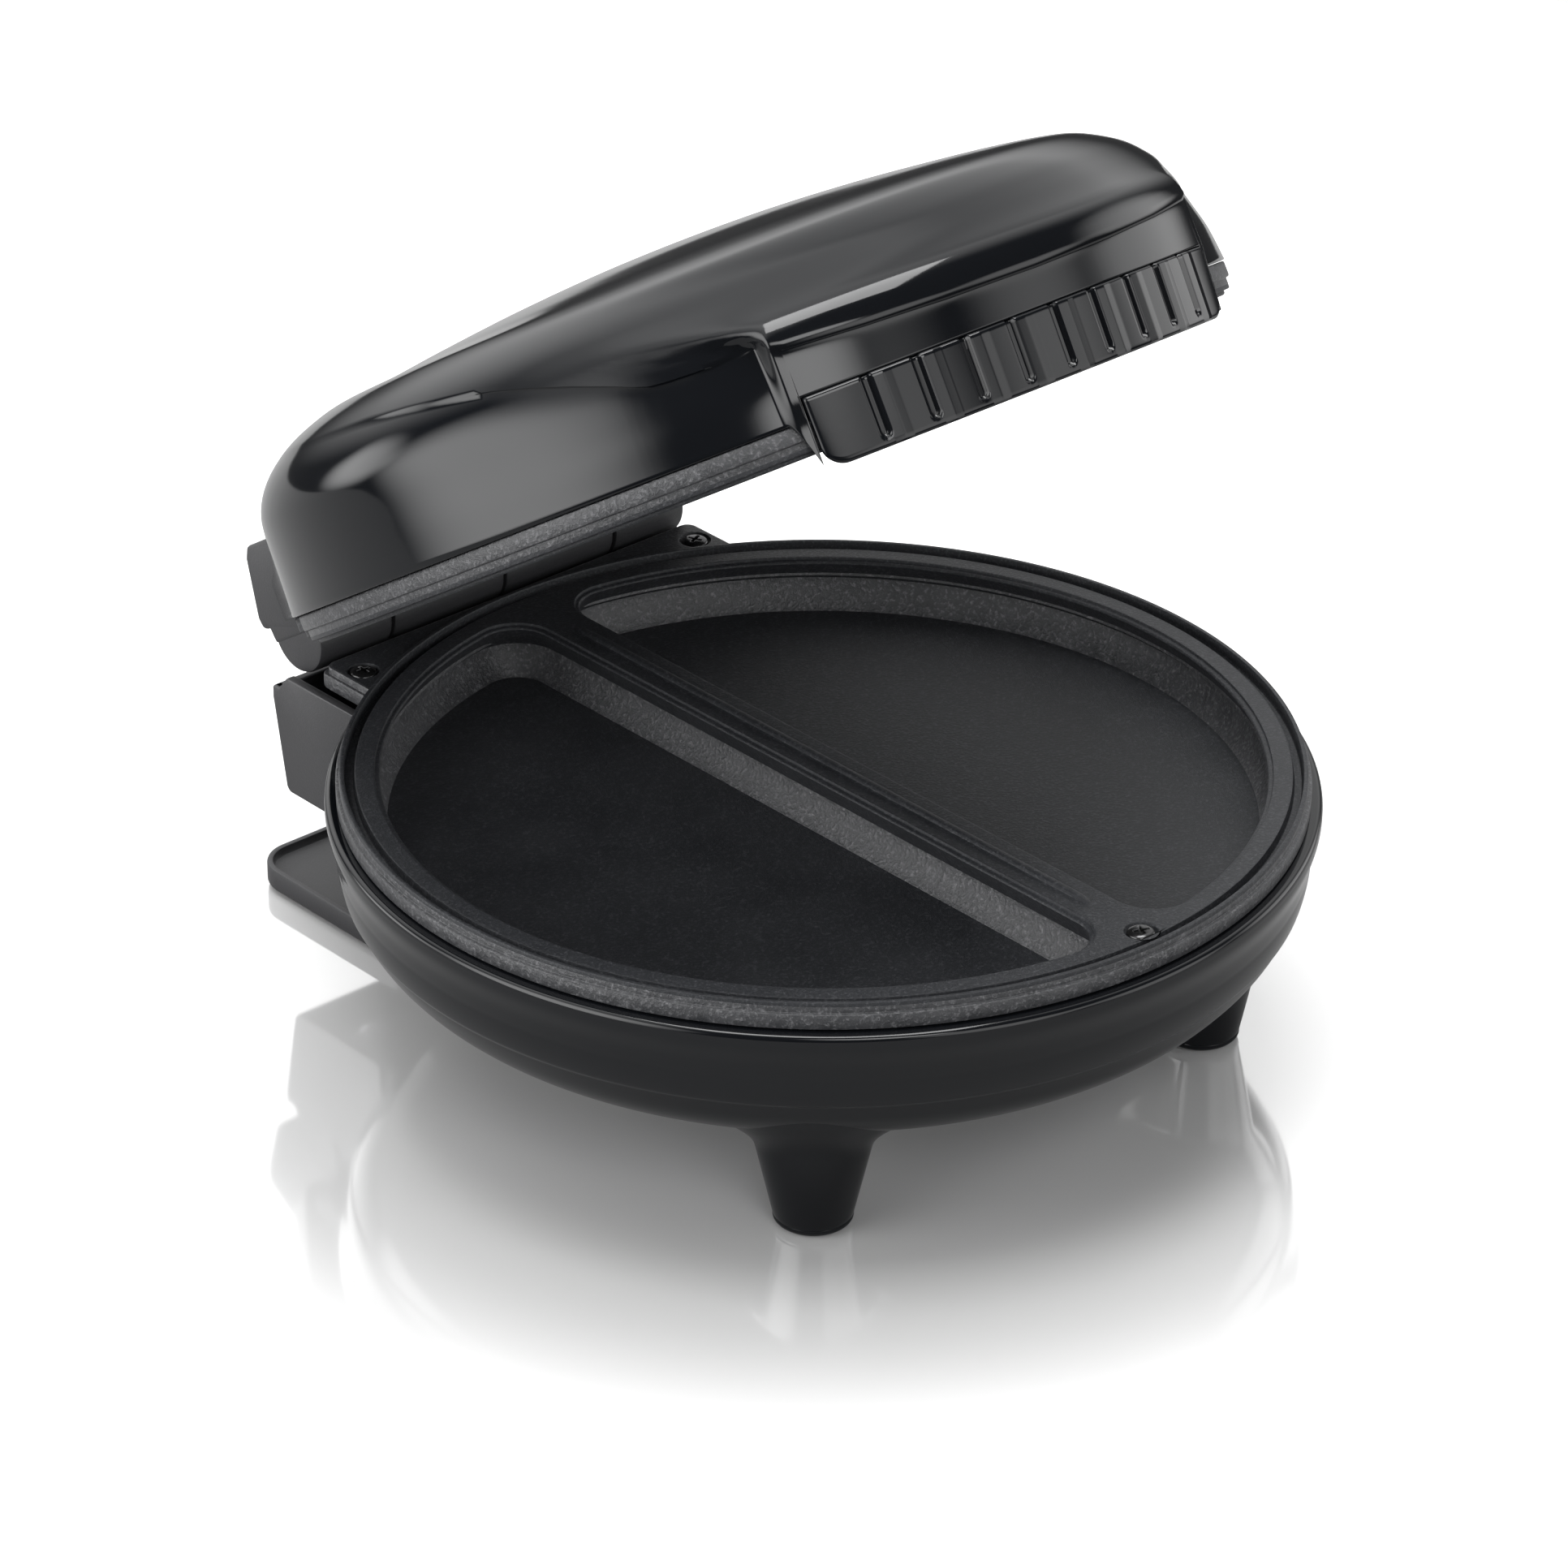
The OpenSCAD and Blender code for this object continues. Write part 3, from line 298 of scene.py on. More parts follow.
def finish(name, color, lighter, roughness, spread=0.1, grainScale=900, grainHeight=5e-5,
                   broadScale=25, speckle=0.2, metallic=0.0, bump=1.0, ior=1.5):
    m, tree, shader = newMaterial(name)
    wear = addNode(tree, "ShaderNodeGroup", {
        "Color": (*color, 1), "Lighter": (*lighter, 1), "Roughness": roughness, "Roughness Spread": spread,
        "Grain Scale": grainScale, "Grain Height": grainHeight, "Broad Scale": broadScale, "Speckle": speckle,
    }, node_tree=surfaceWear).outputs
    relief = addNode(tree, "ShaderNodeBump", {"Strength": bump, "Distance": 1.0, "Height": wear["Height"]})
    feed(tree, shader, {
        "Base Color": wear["Color"], "Roughness": wear["Roughness"], "Normal": relief.outputs["Normal"],
        "Metallic": metallic, "IOR": ior,
    })
    return m


glossBlack = finish("glossBlack", (0.0035, 0.004, 0.005), (0.007, 0.0075, 0.009), 0.09, spread=0.05, grainScale=120,
                    grainHeight=5e-6, broadScale=14, speckle=0.05, bump=0.6, ior=1.42)
mattBlack = finish("mattBlack", (0.024, 0.024, 0.026), (0.05, 0.05, 0.053), 0.46, spread=0.14, grainScale=2000,
                   broadScale=30, speckle=0.35)
coatedPlate = finish("coatedPlate", (0.011, 0.012, 0.014), (0.085, 0.087, 0.094), 0.45, spread=0.12, grainScale=1500,
                     grainHeight=1.8e-4, broadScale=40, speckle=0.5, ior=1.34)
coatedRim = finish("coatedRim", (0.014, 0.015, 0.017), (0.17, 0.17, 0.178), 0.36, spread=0.3, grainScale=1100,
                   grainHeight=3e-4, broadScale=220, speckle=0.6)
blackScrew = finish("blackScrew", (0.05, 0.05, 0.051), (0.14, 0.14, 0.142), 0.2, spread=0.15, grainScale=1200,
                    grainHeight=2e-5, metallic=0.9)
zincSteel = finish("zincSteel", (0.5, 0.5, 0.52), (0.68, 0.68, 0.7), 0.32, spread=0.2, grainScale=1100,
                   grainHeight=3e-5, metallic=1.0)
heaterSteel = finish("heaterSteel", (0.2, 0.17, 0.15), (0.42, 0.4, 0.38), 0.42, spread=0.3, broadScale=60,
                     grainScale=800, grainHeight=4e-5, metallic=1.0)
shieldMetal = finish("shieldMetal", (0.6, 0.6, 0.61), (0.78, 0.78, 0.79), 0.36, spread=0.25, broadScale=18,
                     grainScale=700, grainHeight=2e-5, metallic=1.0)
phenolic = finish("phenolic", (0.13, 0.075, 0.045), (0.24, 0.15, 0.1), 0.45, grainScale=1400)
paleCeramic = finish("paleCeramic", (0.62, 0.59, 0.52), (0.78, 0.76, 0.7), 0.6, grainScale=1600)
leadSleeve = finish("leadSleeve", (0.5, 0.5, 0.46), (0.72, 0.72, 0.68), 0.7, grainScale=2600, grainHeight=2e-4,
                    speckle=0.6)
softRubber = finish("softRubber", (0.012, 0.012, 0.012), (0.03, 0.03, 0.03), 0.62, grainScale=1900)
print("materials made")


# lower bowl

bowlSizes = {
    "lipRadius": 107.8, "lipZ": -6.25, "lipLow": -8.5, "sideRadius": 105.8, "sideZ": -18.0, "turn": 26.0,
    "depth": 41.0, "wall": 2.4, "lineAngle": 16.4, "lineStep": 0.45, "footX": 57.0, "footY": -60.6, "footTop": 13.6,
    "footLow": 8.6, "footLowZ": -65.0, "footRound": 3.0, "flare": 5.0, "pegTop": 6, "flat": 40, "lipInside": 103.6,
}


def bowlUnder(s, drop=0.0, steps=40):
    r0, z0, line = s["sideRadius"] - s["turn"], s["sideZ"], s["lineAngle"]
    out = []
    for a in np.linspace(0, 90, steps):
        step = s["lineStep"] * blendStep(a, line, line + 1.6) * (1 - blendStep(a, line + 4, 75))
        t = radians(a)
        out.append((r0 + (s["turn"] - drop) * cos(t) - step, z0 - (s["depth"] + z0 - drop) * sin(t)))
    return out


def bowlProfile(s):
    r, z, depth, wall, flat, inside = s["lipRadius"], s["lipZ"], s["depth"], s["wall"], s["flat"], s["lipInside"]
    lip = [(inside, z), (r - 1.4, z), (r - 0.6, z - 0.15), (r - 0.15, z - 0.6)]
    side = smoothPath([(r, z - 1.4), (r - 0.15, s["lipLow"] - 1.5), (s["sideRadius"] + 0.7, -14),
                       (s["sideRadius"], s["sideZ"])], 7)[:-1]
    return [(0.01, -depth), (flat, -depth)] + bowlUnder(s, 0.0, 80)[::-1] + side[::-1] + lip[::-1] + \
        [(inside, -9)] + bowlUnder(s, wall, 20) + [(flat, -depth + wall), (0.01, -depth + wall)]


# how low the bowl's skin lies at a distance from the axis
def bowlSkin(s, r):
    line = np.array(bowlUnder(s))[::-1]
    return float(np.interp(r, line[:, 0], line[:, 1])) if r > line[0, 0] else -s["depth"]


def makeBowl(s):
    b = Builder()
    b.spin(bowlProfile(s)[::-1], steps=256, ring=False)
    steps = 96
    low, bottom = s["footLow"], s["footLowZ"]
    for side in (-1, 1):
        cx, cy = side * s["footX"], s["footY"]
        sole = [(low - s["footRound"] + 0.3, bottom + 1.6), (low - 0.6, bottom + 1.7), (low - 0.15, bottom + 2.0)]
        loops = [circleLoop(q, z, (cx, cy), steps) for q, z in sole]
        for t in np.linspace(0, 1, 26):
            # straight taper, then a soft flare that meets the bowl
            q = low + (s["footTop"] - low) * min(1, t * 1.02)
            q += s["flare"] * max(0, (t - 0.72) / 0.28) ** 2.6
            loop = []
            for x, y, z in circleLoop(q, bottom + 2.4, (cx, cy), steps):
                top = bowlSkin(s, hypot(x, y)) + 0.35
                loop.append((x, y, z + (top - bottom - 2.4) * t))
            loops.append(loop)
        b.skin(loops, capStart=True, capEnd=True)
    return b.object("bowl", [glossBlack], sharp=50)


def makeFootTips(s):
    b = Builder()
    low, bottom, c, peg = s["footLow"], s["footLowZ"], s["footRound"], s["pegTop"]
    profile = [(0.01, bottom), (2, bottom)]
    profile += [(low - c + c * cos(a), bottom + c * 0.6 + c * 0.6 * sin(a))
                for a in np.linspace(-pi / 2, 0, 12)]
    profile += [(low - 0.1, bottom + c * 0.6 + 0.3), (low - 2.4, bottom + 2.9), (low - 2.6, bottom + peg),
                (0.01, bottom + peg)]
    for side in (-1, 1):
        b.spin(profile, centre=(side * s["footX"], s["footY"]), steps=64, ring=False)
    return b.object("footTips", [glossBlack], sharp=50)


bowl = makeBowl(bowlSizes)
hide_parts("base_housing")
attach(bowl, "base")
footTips = makeFootTips(bowlSizes)
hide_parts("front_foot_tips")
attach(footTips, "base")
print("bowl made")


# cooking plates

plateSizes = {
    "radius": 105.3, "earHalf": 54.2, "earY": 106.6, "earCorner": 2.4, "tierInset": 0.8, "tierZ": -2.4, "sideZ": -5.9,
    "landZ": -0.8, "crestOut": 104.5, "crestIn": 103.4, "grooveIn": 101.2, "grooveZ": -2.8, "wellRadius": 96.0,
    "dividerHalf": 6.0, "wellCorner": 9.0, "wellZ": -13.3, "lean": 4.0, "fillet": 4.0, "stepWidth": 0.9,
    "stepZ": -1.5, "lineHalf": 1.2, "lineEnd": 83.0, "frontScrewY": -98.0, "rearScrewX": 48.6, "rearScrewY": 98.0,
    "recessRadius": 3.6, "recessZ": -1.6, "ridge": 0.9, "underRadius": 98.2, "underWall": 2.4,
}
upperPlateSizes = dict(plateSizes, earHalf=59.0)
plateGap = 0.4


def arcPoints(x, y, r, start, end, count):
    return [(x + r * cos(a), y + r * sin(a)) for a in np.linspace(start, end, count, endpoint=False)]


def wellLoop(inset, z, side, s, line=36, corner=14, arc=110):
    r, x0, rc = s["wellRadius"], s["dividerHalf"], s["wellCorner"]
    cx = x0 + rc
    cy = sqrt((r - rc) ** 2 - cx ** 2)
    turn = atan2(cy, cx)
    pts = [(x0 + inset, -cy * t) for t in np.linspace(-1, 1, line, endpoint=False)]
    # front corner, outer arc, rear corner
    pts += arcPoints(cx, -cy, rc - inset, -pi, -turn, corner)
    pts += arcPoints(0, 0, r - inset, -turn, turn, arc)
    pts += arcPoints(cx, cy, rc - inset, turn, pi, corner)
    return [(side * x, y, z) for x, y in pts]


def plateOutline(inset, z, s, arc=200, edge=8):
    r, ex, ey, ec = s["radius"] - inset, s["earHalf"] - inset, s["earY"] - inset, s["earCorner"]
    join = atan2(sqrt(r * r - ex * ex), ex)
    jy = r * sin(join)
    pts = [(r * cos(a), r * sin(a)) for a in np.linspace(pi - join, 2 * pi + join, arc)]
    pts += [(ex, jy + (ey - ec - jy) * t) for t in np.linspace(0, 1, edge + 1)[1:-1]]
    pts += [(ex - ec + ec * cos(a), ey - ec + ec * sin(a)) for a in np.linspace(0, pi / 2, edge)]
    pts += [(ex - ec - 2 * (ex - ec) * t, ey) for t in np.linspace(0, 1, 21)[1:-1]]
    pts += [(-ex + ec - ec * sin(a), ey - ec + ec * cos(a)) for a in np.linspace(0, pi / 2, edge)]
    pts += [(-ex, ey - ec - (ey - ec - jy) * t) for t in np.linspace(0, 1, edge + 1)[1:-1]]
    return [(x, y, z) for x, y in pts]


def recessLoops(centre, s):
    r, top, low = s["recessRadius"], s["landZ"], s["recessZ"]
    profile = [(r + 0.5, top), (r + 0.25, top), (r + 0.06, top - 0.07), (r, top - 0.25), (r - 0.1, low + 0.2),
               (r - 0.35, low), (r - 0.7, low), (0.4, low)]
    return [circleLoop(q, z, centre, 48) for q, z in profile]


def makePlate(name, s, onLid):
    b = Builder()
    land, tier, inset = s["landZ"], s["tierZ"], s["tierInset"]
    # outer side in two tiers, then round on to the land
    side = [(0.5, s["sideZ"]), (0.15, s["sideZ"] + 0.1), (0.0, s["sideZ"] + 0.4), (0.0, tier - 0.45),
            (0.12, tier - 0.12), (0.4, tier), (0.68, tier + 0.02), (inset, tier + 0.15), (inset, land - 0.25),
            (inset + 0.07, land - 0.07), (inset + 0.25, land), (inset + 0.55, land)]
    b.skin([plateOutline(d, z, s) for d, z in side], mark=1)
    rearRecess = [recessLoops((k * s["rearScrewX"], s["rearScrewY"]), s) for k in (-1, 1)]
    b.sheet(plateOutline(inset + 0.55, land, s), [circleLoop(s["crestIn"] - 0.02, land)] + [r[0] for r in rearRecess])
    # crest ring
    c, e = s["crestIn"], s["crestOut"] - 0.04
    b.spin([(e, land - 0.4), (e, -0.3), (e - 0.1, -0.08), (e - 0.3, 0), (c + 0.35, 0), (c + 0.12, -0.06),
            (c, -0.3), (c, land - 0.4)], steps=256)
    # sealing groove
    g, low = s["grooveIn"], s["grooveZ"]
    b.spin([(c, -0.5), (c - 0.05, low + 0.5), (c - 0.35, low + 0.08), (c - 0.8, low), (g + 0.8, low),
            (g + 0.35, low + 0.08), (g + 0.05, low + 0.5), (g, land - 0.3), (g - 0.08, land - 0.08),
            (g - 0.3, land), (g - 0.55, land)], steps=256, ring=False)
    frontRecess = recessLoops((0, s["frontScrewY"]), s)
    wellEdge = [wellLoop(-s["stepWidth"] - 0.5, land, k, s) for k in (-1, 1)]
    b.sheet(circleLoop(g - 0.55, land, steps=256), wellEdge + [frontRecess[0]])
    for recess in [frontRecess] + rearRecess:
        b.skin(recess, capEnd=True)
    # wells: a step, a drafted wall and a fillet on to the floor
    step, width, wz, fil = s["stepZ"], s["stepWidth"], s["wellZ"], s["fillet"]
    rings = [(-width - 0.5, land), (-width - 0.25, land), (-width - 0.06, land - 0.06), (-width + 0.02, land - 0.25),
             (-width + 0.08, step + 0.12), (-width + 0.25, step), (-0.35, step), (-0.1, step - 0.04),
             (0.12, step - 0.2), (0.25, step - 0.5)]
    wallLow = wz + fil
    slope = s["lean"] / (wallLow - step)
    rings += [(0.25 - slope * (z - step + 0.5), z) for z in np.linspace(step - 1.2, wallLow, 6)]
    start = rings[-1][0]
    for a in np.linspace(0, pi / 2, 9)[1:]:
        rings.append((start + fil * 0.9 * (1 - cos(a)), wallLow - fil * sin(a)))
    rings.append((rings[-1][0] + 0.4, wz))
    for k in (-1, 1):
        loops = [wellLoop(d, z, k, s) for d, z in rings]
        b.skin(loops)
        b.sheet(loops[-1])
    # raised line along the divider
    h, end = s["lineHalf"], s["lineEnd"]
    section = [(-h - 0.5, 0.0), (-h, 0.12), (-h + 0.35, 0.6), (-h + 0.7, 0.78), (0, 0.82), (h - 0.7, 0.78),
               (h - 0.35, 0.6), (h, 0.12), (h + 0.5, 0.0)]
    loops = []
    for y in np.linspace(-end, end, 60):
        fade = blendStep(end - abs(y), 0, 4)
        loops.append([(x * (0.4 + 0.6 * fade), y, land - 0.01 + z * fade) for x, z in section])
    b.skin(loops, closed=False)
    # underside
    under, wall = s["underRadius"], s["underWall"]
    b.sheet(plateOutline(0.5, s["sideZ"], s), [circleLoop(under, s["sideZ"])], up=False, mark=1)
    b.spin([(under, s["sideZ"]), (98.1, -4.0), (97.9, -4.0), (97.0, -5.5)], ring=False, mark=1)
    span = wz + 2.4 + 1.0 + 0.6
    shell = [(-wall, -4.0), (-wall + 0.1, -6.0)]
    shell += [(-wall + s["lean"] * (z + 6) / span * 0.9, z) for z in (-8.0, -10.0)]
    shell += [(0.9, -12.4), (2.6, -14.6), (5.5, -15.7)]
    for k in (-1, 1):
        loops = [wellLoop(d, z, k, s) for d, z in shell]
        b.skin(loops, mark=1)
        b.sheet(loops[-1], up=False, mark=1)
    b.sheet(circleLoop(98.1, -4.0), [wellLoop(-wall, -4.0, k, s) for k in (-1, 1)], up=False, mark=1)
    if onLid:
        # the sealing ridge that meets the lower plate's groove
        m, h = (s["crestIn"] + s["grooveIn"]) / 2, s["ridge"]
        b.spin([(m - 0.8, -2.8), (m - 0.8, h - 0.35), (m - 0.5, h), (m + 0.5, h), (m + 0.8, h - 0.35),
                (m + 0.8, -2.8)], steps=256)
        b.verts = [(x, y, plateGap - z) for x, y, z in b.verts]
        b.faces = [f[::-1] for f in b.faces]
    return b.object(name, [coatedPlate, coatedRim], sharp=38, onLid=onLid, recalc=False)


lowerPlate = makePlate("lowerPlate", plateSizes, False)
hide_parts("lower_plate")
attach(lowerPlate, "base")
upperPlate = makePlate("upperPlate", upperPlateSizes, True)
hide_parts("upper_plate")
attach(upperPlate, "lid")
print("plates made")


# lid: crown and shoulder above the crease, gloss wall below it, and a brow over the grip

lidSizes = {
    "rimZ": 6.6, "crown": [(0, 51.5), (20, 51.1), (40, 49.7), (58, 47.7), (70, 46.1)],
    "side": [(81, 45.1), (87.9, 43.3), (93.9, 40.8), (98.9, 37.5), (102.6, 33.7), (104.9, 29.4), (105.7, 25),
             (106.1, 16), (106.6, 6.6)],
    "quarter": [(80, 44.4), (86.6, 42.5), (94.1, 38.3), (98, 34), (100.3, 30), (102.1, 25.5), (103.4, 20),
                (104.8, 13.9), (105.6, 6.6)],
    "front": [(80, 44.3), (86.6, 42.2), (93, 38.2), (97, 34.6), (100.2, 31.5), (102.6, 29.4), (104.6, 27.8),
              (106.1, 26.0), (107.0, 23.8), (107.5, 21.4), (107.9, 19.0), (107.9, 16)],
    "crease": [(0, 19.2), (12, 19.6), (22, 20.4), (31, 21.6), (34.2, 23.6), (39.5, 23.2), (44.3, 23.6), (46.2, 24.0),
               (47.9, 25.0), (50.5, 26.9), (55.1, 29.8), (60, 32.4), (65.4, 34.8), (71.4, 36.3), (78, 37.7),
               (86, 38.8), (97, 39.4), (180, 39.6)],
    "creaseDepth": [(33.9, 0.0), (37, 0.35), (42, 0.7), (55, 0.6), (70, 0.35), (95, 0.2), (125, 0.0), (180, 0.0)],
    "creaseReach": 5.0, "quarterEnd": 52, "sideStart": 86, "shellThick": 1.7, "browTurn": 32.3, "browEnd": 33.9,
    "meltLow": 23.5, "meltHigh": 34.0, "meltEnd": 62.0, "faceRadius": 106.9, "faceLow": 11.1, "postTurn": 31.3,
    "postRim": [(31.35, -3.0), (31.6, -1.4), (32.3, 3.0), (33.4, 6.6)], "rearHalf": 58.0, "rearY": 110.5,
    "coverHalf": 54.9, "coverY": 107.1, "rearFull": 14.0, "rearGone": 32.0, "coverTop": 24.6, "cornerSoft": 3.0,
    "inside": [(103.2, 12), (102.4, 18), (99.0, 24), (95.5, 30), (90.5, 35), (84, 39), (74, 42), (50, 45.5), (20, 48),
               (0.3, 48.6)],
}


def resample(points, count):
    pts = np.array(points, float)
    seg = np.linalg.norm(np.diff(pts, axis=0), axis=1)
    along = np.concatenate([[0], np.cumsum(seg)]) / seg.sum()
    t = np.linspace(0, 1, count)
    return np.stack([np.interp(t, along, pts[:, k]) for k in range(pts.shape[1])], 1)


def table(pairs, x):
    return float(np.interp(x, [p[0] for p in pairs], [p[1] for p in pairs]))


# plan radius at the rear: the round side runs straight on to a soft corner beside the hinge cover
def rearPlan(r, z, turn, s):
    back = radians(180 - turn)
    grow = 1 - blendStep(z, s["rearFull"], s["rearGone"])
    cornerTurn = atan2(s["rearHalf"], s["rearY"])
    far = hypot(s["rearHalf"], s["rearY"])
    tangent = cornerTurn + acos(min(1, r / far))
    if grow <= 0 or back >= tangent:
        return r
    side = r / cos(tangent - back)
    rear = s["rearY"] / max(1e-6, cos(min(back, 1.2)))
    h = max(0.0, s["cornerSoft"] - abs(side - rear)) / s["cornerSoft"]
    plan = min(side, rear) - h * h * s["cornerSoft"] / 4
    # flat rear face behind the cover
    if z < s["coverTop"] and tan(back) * s["rearY"] < s["coverHalf"]:
        plan = s["coverY"] / cos(back)
    return r + grow * (plan - r)


# one column of the lid from the crown to the rim, at a turn from the front
def lidColumn(turn, s, upperRows=80, lowerRows=26):
    a = abs(turn)
    zc = table(s["crease"], a)

    def fall(profile):
        crown = s["crown"]
        line = np.array(smoothPath([(-crown[1][0], crown[1][1])] + crown + profile, 8)[8:])
        return line, np.maximum.accumulate(-line[:, 1])

    def upper(profile):
        line, falling = fall(profile)
        rc = float(np.interp(-zc, falling, line[:, 0]))
        keep = [tuple(p) for p in line if p[1] > zc + 0.02]
        return resample(keep + [(rc, zc)], upperRows)

    def lower(profile):
        line, falling = fall(profile)
        out = []
        for t in np.linspace(0, 1, lowerRows):
            z = zc - 0.25 - (zc - 0.25 - s["rimZ"]) * t
            r = float(np.interp(-z, falling, line[:, 0]))
            out.append((r - table(s["creaseDepth"], a) * exp(-(zc - z) / s["creaseReach"]), z))
        return np.array(out)

    k = blendStep(a, s["quarterEnd"], s["sideStart"])
    up = upper(s["quarter"]) * (1 - k) + upper(s["side"]) * k
    low = lower(s["quarter"]) * (1 - k) + lower(s["side"]) * k
    if a < s["meltEnd"]:
        w = 1 - blendStep(a, s["browTurn"], s["browEnd"])
        front = upper(s["front"])
        melt = np.array([1 - blendStep(a, s["browTurn"] - 3 * q, s["browEnd"] + (s["meltEnd"] - s["browEnd"]) * q)
                         for q in [blendStep(z, s["meltLow"], s["meltHigh"]) for r, z in front]])[:, None]
        up = up * (1 - melt) + front * melt
    if a < s["browEnd"]:
        rim = s["faceLow"] if a < s["postTurn"] else table(s["postRim"], a)
        face = []
        for t in np.linspace(0, 1, lowerRows):
            z = zc - 0.5 - (zc - 0.5 - rim) * t
            r = s["faceRadius"] + 0.5 * exp(-(zc - z) / 0.5) - 0.5 * blendStep(11 - z, 0, 6)
            face.append((r, z))
        low = low * (1 - w) + np.array(face) * w
        if w < 1:
            low[:, 1] = np.maximum(low[:, 1], rim if a < 33.4 else s["rimZ"])
    return np.concatenate([up, low])


def makeLid(s):
    b = Builder()
    turns = [np.arange(-180, 180, 1.25), np.arange(-37, 37.01, 0.5)]
    for k in (-1, 1):
        turns += [k * np.arange(31.0, 36.4, 0.12), k * np.arange(36.4, 50, 0.4), k * np.arange(148, 156, 0.2)]
    turns = sorted({round(float(t), 3) for t in np.concatenate(turns)})
    columns = [lidColumn(t, s) for t in turns]
    rows = len(columns[0])
    loops = []
    for row in range(1, rows):
        loop = []
        for turn, col in zip(turns, columns):
            r, z = col[row]
            loop.append(fromFront(rearPlan(r, z, abs(turn), s), turn, z))
        loops.append(loop)
    rim = loops[-1]
    for inset, drop in ((0.15, 0.12), (0.4, 0.2), (0.6, 0.2), (0.8, 0.0), (0.88, -0.4)):
        shrink = [1 - inset / hypot(x, y) for x, y, z in rim]
        loops.append([(x * k, y * k, z - drop) for k, (x, y, z) in zip(shrink, rim)])
    loops.append([(x, y, max(z, s["rimZ"] + 0.5)) for x, y, z in loops[-1]])
    for r, z in s["inside"]:
        loop = []
        for turn, (x, y, z0) in zip(turns, rim):
            q = min(r, hypot(x, y) - s["shellThick"])
            loop.append(fromFront(q, turn, max(z, z0 + 1.2) if r > 100 else z))
        loops.append(loop)
    b.skin(loops)
    start = len(b.verts)
    b.verts.append((0, 0, s["crown"][0][1]))
    for i in range(len(turns)):
        b.faces.append([start, (i + 1) % len(turns), i])
        b.marks.append(0)
    b.sheet(loops[-1], up=False)
    return b.object("lidShell", [glossBlack], sharp=75, onLid=True)


lidShell = makeLid(lidSizes)
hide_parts("lid_housing")
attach(lidShell, "lid")
print("lid made")


# finger grip: a curved panel whose flutes are pressed in by a node tree

gripSizes = {
    "outRadius": 107.6, "thick": 2.0, "low": -4.3, "high": 10.9, "halfTurn": 31.1, "lean": 0.6, "cornerRadius": 5.0,
}
fluteValues = {
    "Flute Count": 9.0, "Flute Step": 5.98, "Flute Half Width": 1.2, "Flute Depth": 1.0, "Flute End": -2.6,
    "Fold Height": 0.22, "Fold Place": 3.7, "Radius": gripSizes["outRadius"],
}


# ends a geometry tree: made real, then given its material
def endTree(tree, given, result, geometry):
    real = addNode(tree, "GeometryNodeRealizeInstances", {0: geometry})
    dressed = addNode(tree, "GeometryNodeSetMaterial", {"Geometry": real.outputs[0], "Material": given["Material"]})
    feed(tree, result, {0: dressed.outputs[0]})


def gripFluteTree():
    g, given, result = newGroup("gripFlutes", "GeometryNodeTree", {
        "Geometry": "Geometry", **{label: "Float" for label in fluteValues}, "Material": "Material",
    }, {"Geometry": "Geometry"})

    def do(operation, a, b=None):
        return calc(g, operation, a, b)

    inDegrees, inRadians = 57.29578, 0.0174533
    place = g.nodes.new("GeometryNodeInputPosition").outputs[0]
    x, y, z = addNode(g, "ShaderNodeSeparateXYZ", {0: place}).outputs
    turn = do("MULTIPLY", do("ARCTAN2", x, do("MULTIPLY", y, -1.0)), inDegrees)
    # nearest flute, held to the outermost one
    half = do("MULTIPLY", do("SUBTRACT", given["Flute Count"], 1.0), 0.5)
    index = do("ROUND", do("DIVIDE", turn, given["Flute Step"]))
    index = do("MINIMUM", do("MAXIMUM", index, do("MULTIPLY", half, -1.0)), half)
    away = do("SUBTRACT", turn, do("MULTIPLY", index, given["Flute Step"]))
    across = do("MULTIPLY", do("MULTIPLY", away, inRadians), given["Radius"])
    below = do("SUBTRACT", z, do("ADD", given["Flute End"], given["Flute Half Width"]))
    below = do("MINIMUM", below, 0.0)
    reach = do("SQRT", do("ADD", do("MULTIPLY", across, across), do("MULTIPLY", below, below)))
    groove = addNode(g, "ShaderNodeMapRange", {
        "Value": reach, "From Min": do("ADD", given["Flute Half Width"], 0.2),
        "From Max": do("SUBTRACT", given["Flute Half Width"], 0.85),
    }, interpolation_type="SMOOTHERSTEP", clamp=True)
    sink = do("MULTIPLY", groove.outputs["Result"], do("MULTIPLY", given["Flute Depth"], -1.0))
    # a shallow fold to the right of each flute
    fromFold = do("SUBTRACT", across, given["Fold Place"])
    leftSide = do("SUBTRACT", 1.0, do("DIVIDE", do("MULTIPLY", fromFold, -1.0), 2.6))
    rightSide = do("SUBTRACT", 1.0, do("DIVIDE", fromFold, 2.0))
    fold = do("MAXIMUM", do("MINIMUM", leftSide, rightSide), 0.0)
    rise = do("MULTIPLY", fold, given["Fold Height"])
    outside = addNode(g, "GeometryNodeInputNamedAttribute", {"Name": "outside"}, data_type="FLOAT")
    amount = do("MULTIPLY", do("ADD", sink, rise), outside.outputs["Attribute"])
    flat = addNode(g, "ShaderNodeCombineXYZ", {0: x, 1: y})
    outward = addNode(g, "ShaderNodeVectorMath", {0: flat.outputs[0]}, operation="NORMALIZE")
    push = addNode(g, "ShaderNodeVectorMath", {0: outward.outputs[0], "Scale": amount}, operation="SCALE")
    moved = addNode(g, "GeometryNodeSetPosition", {"Geometry": given["Geometry"], "Offset": push.outputs[0]})
    endTree(g, given, result, moved.outputs[0])
    return g


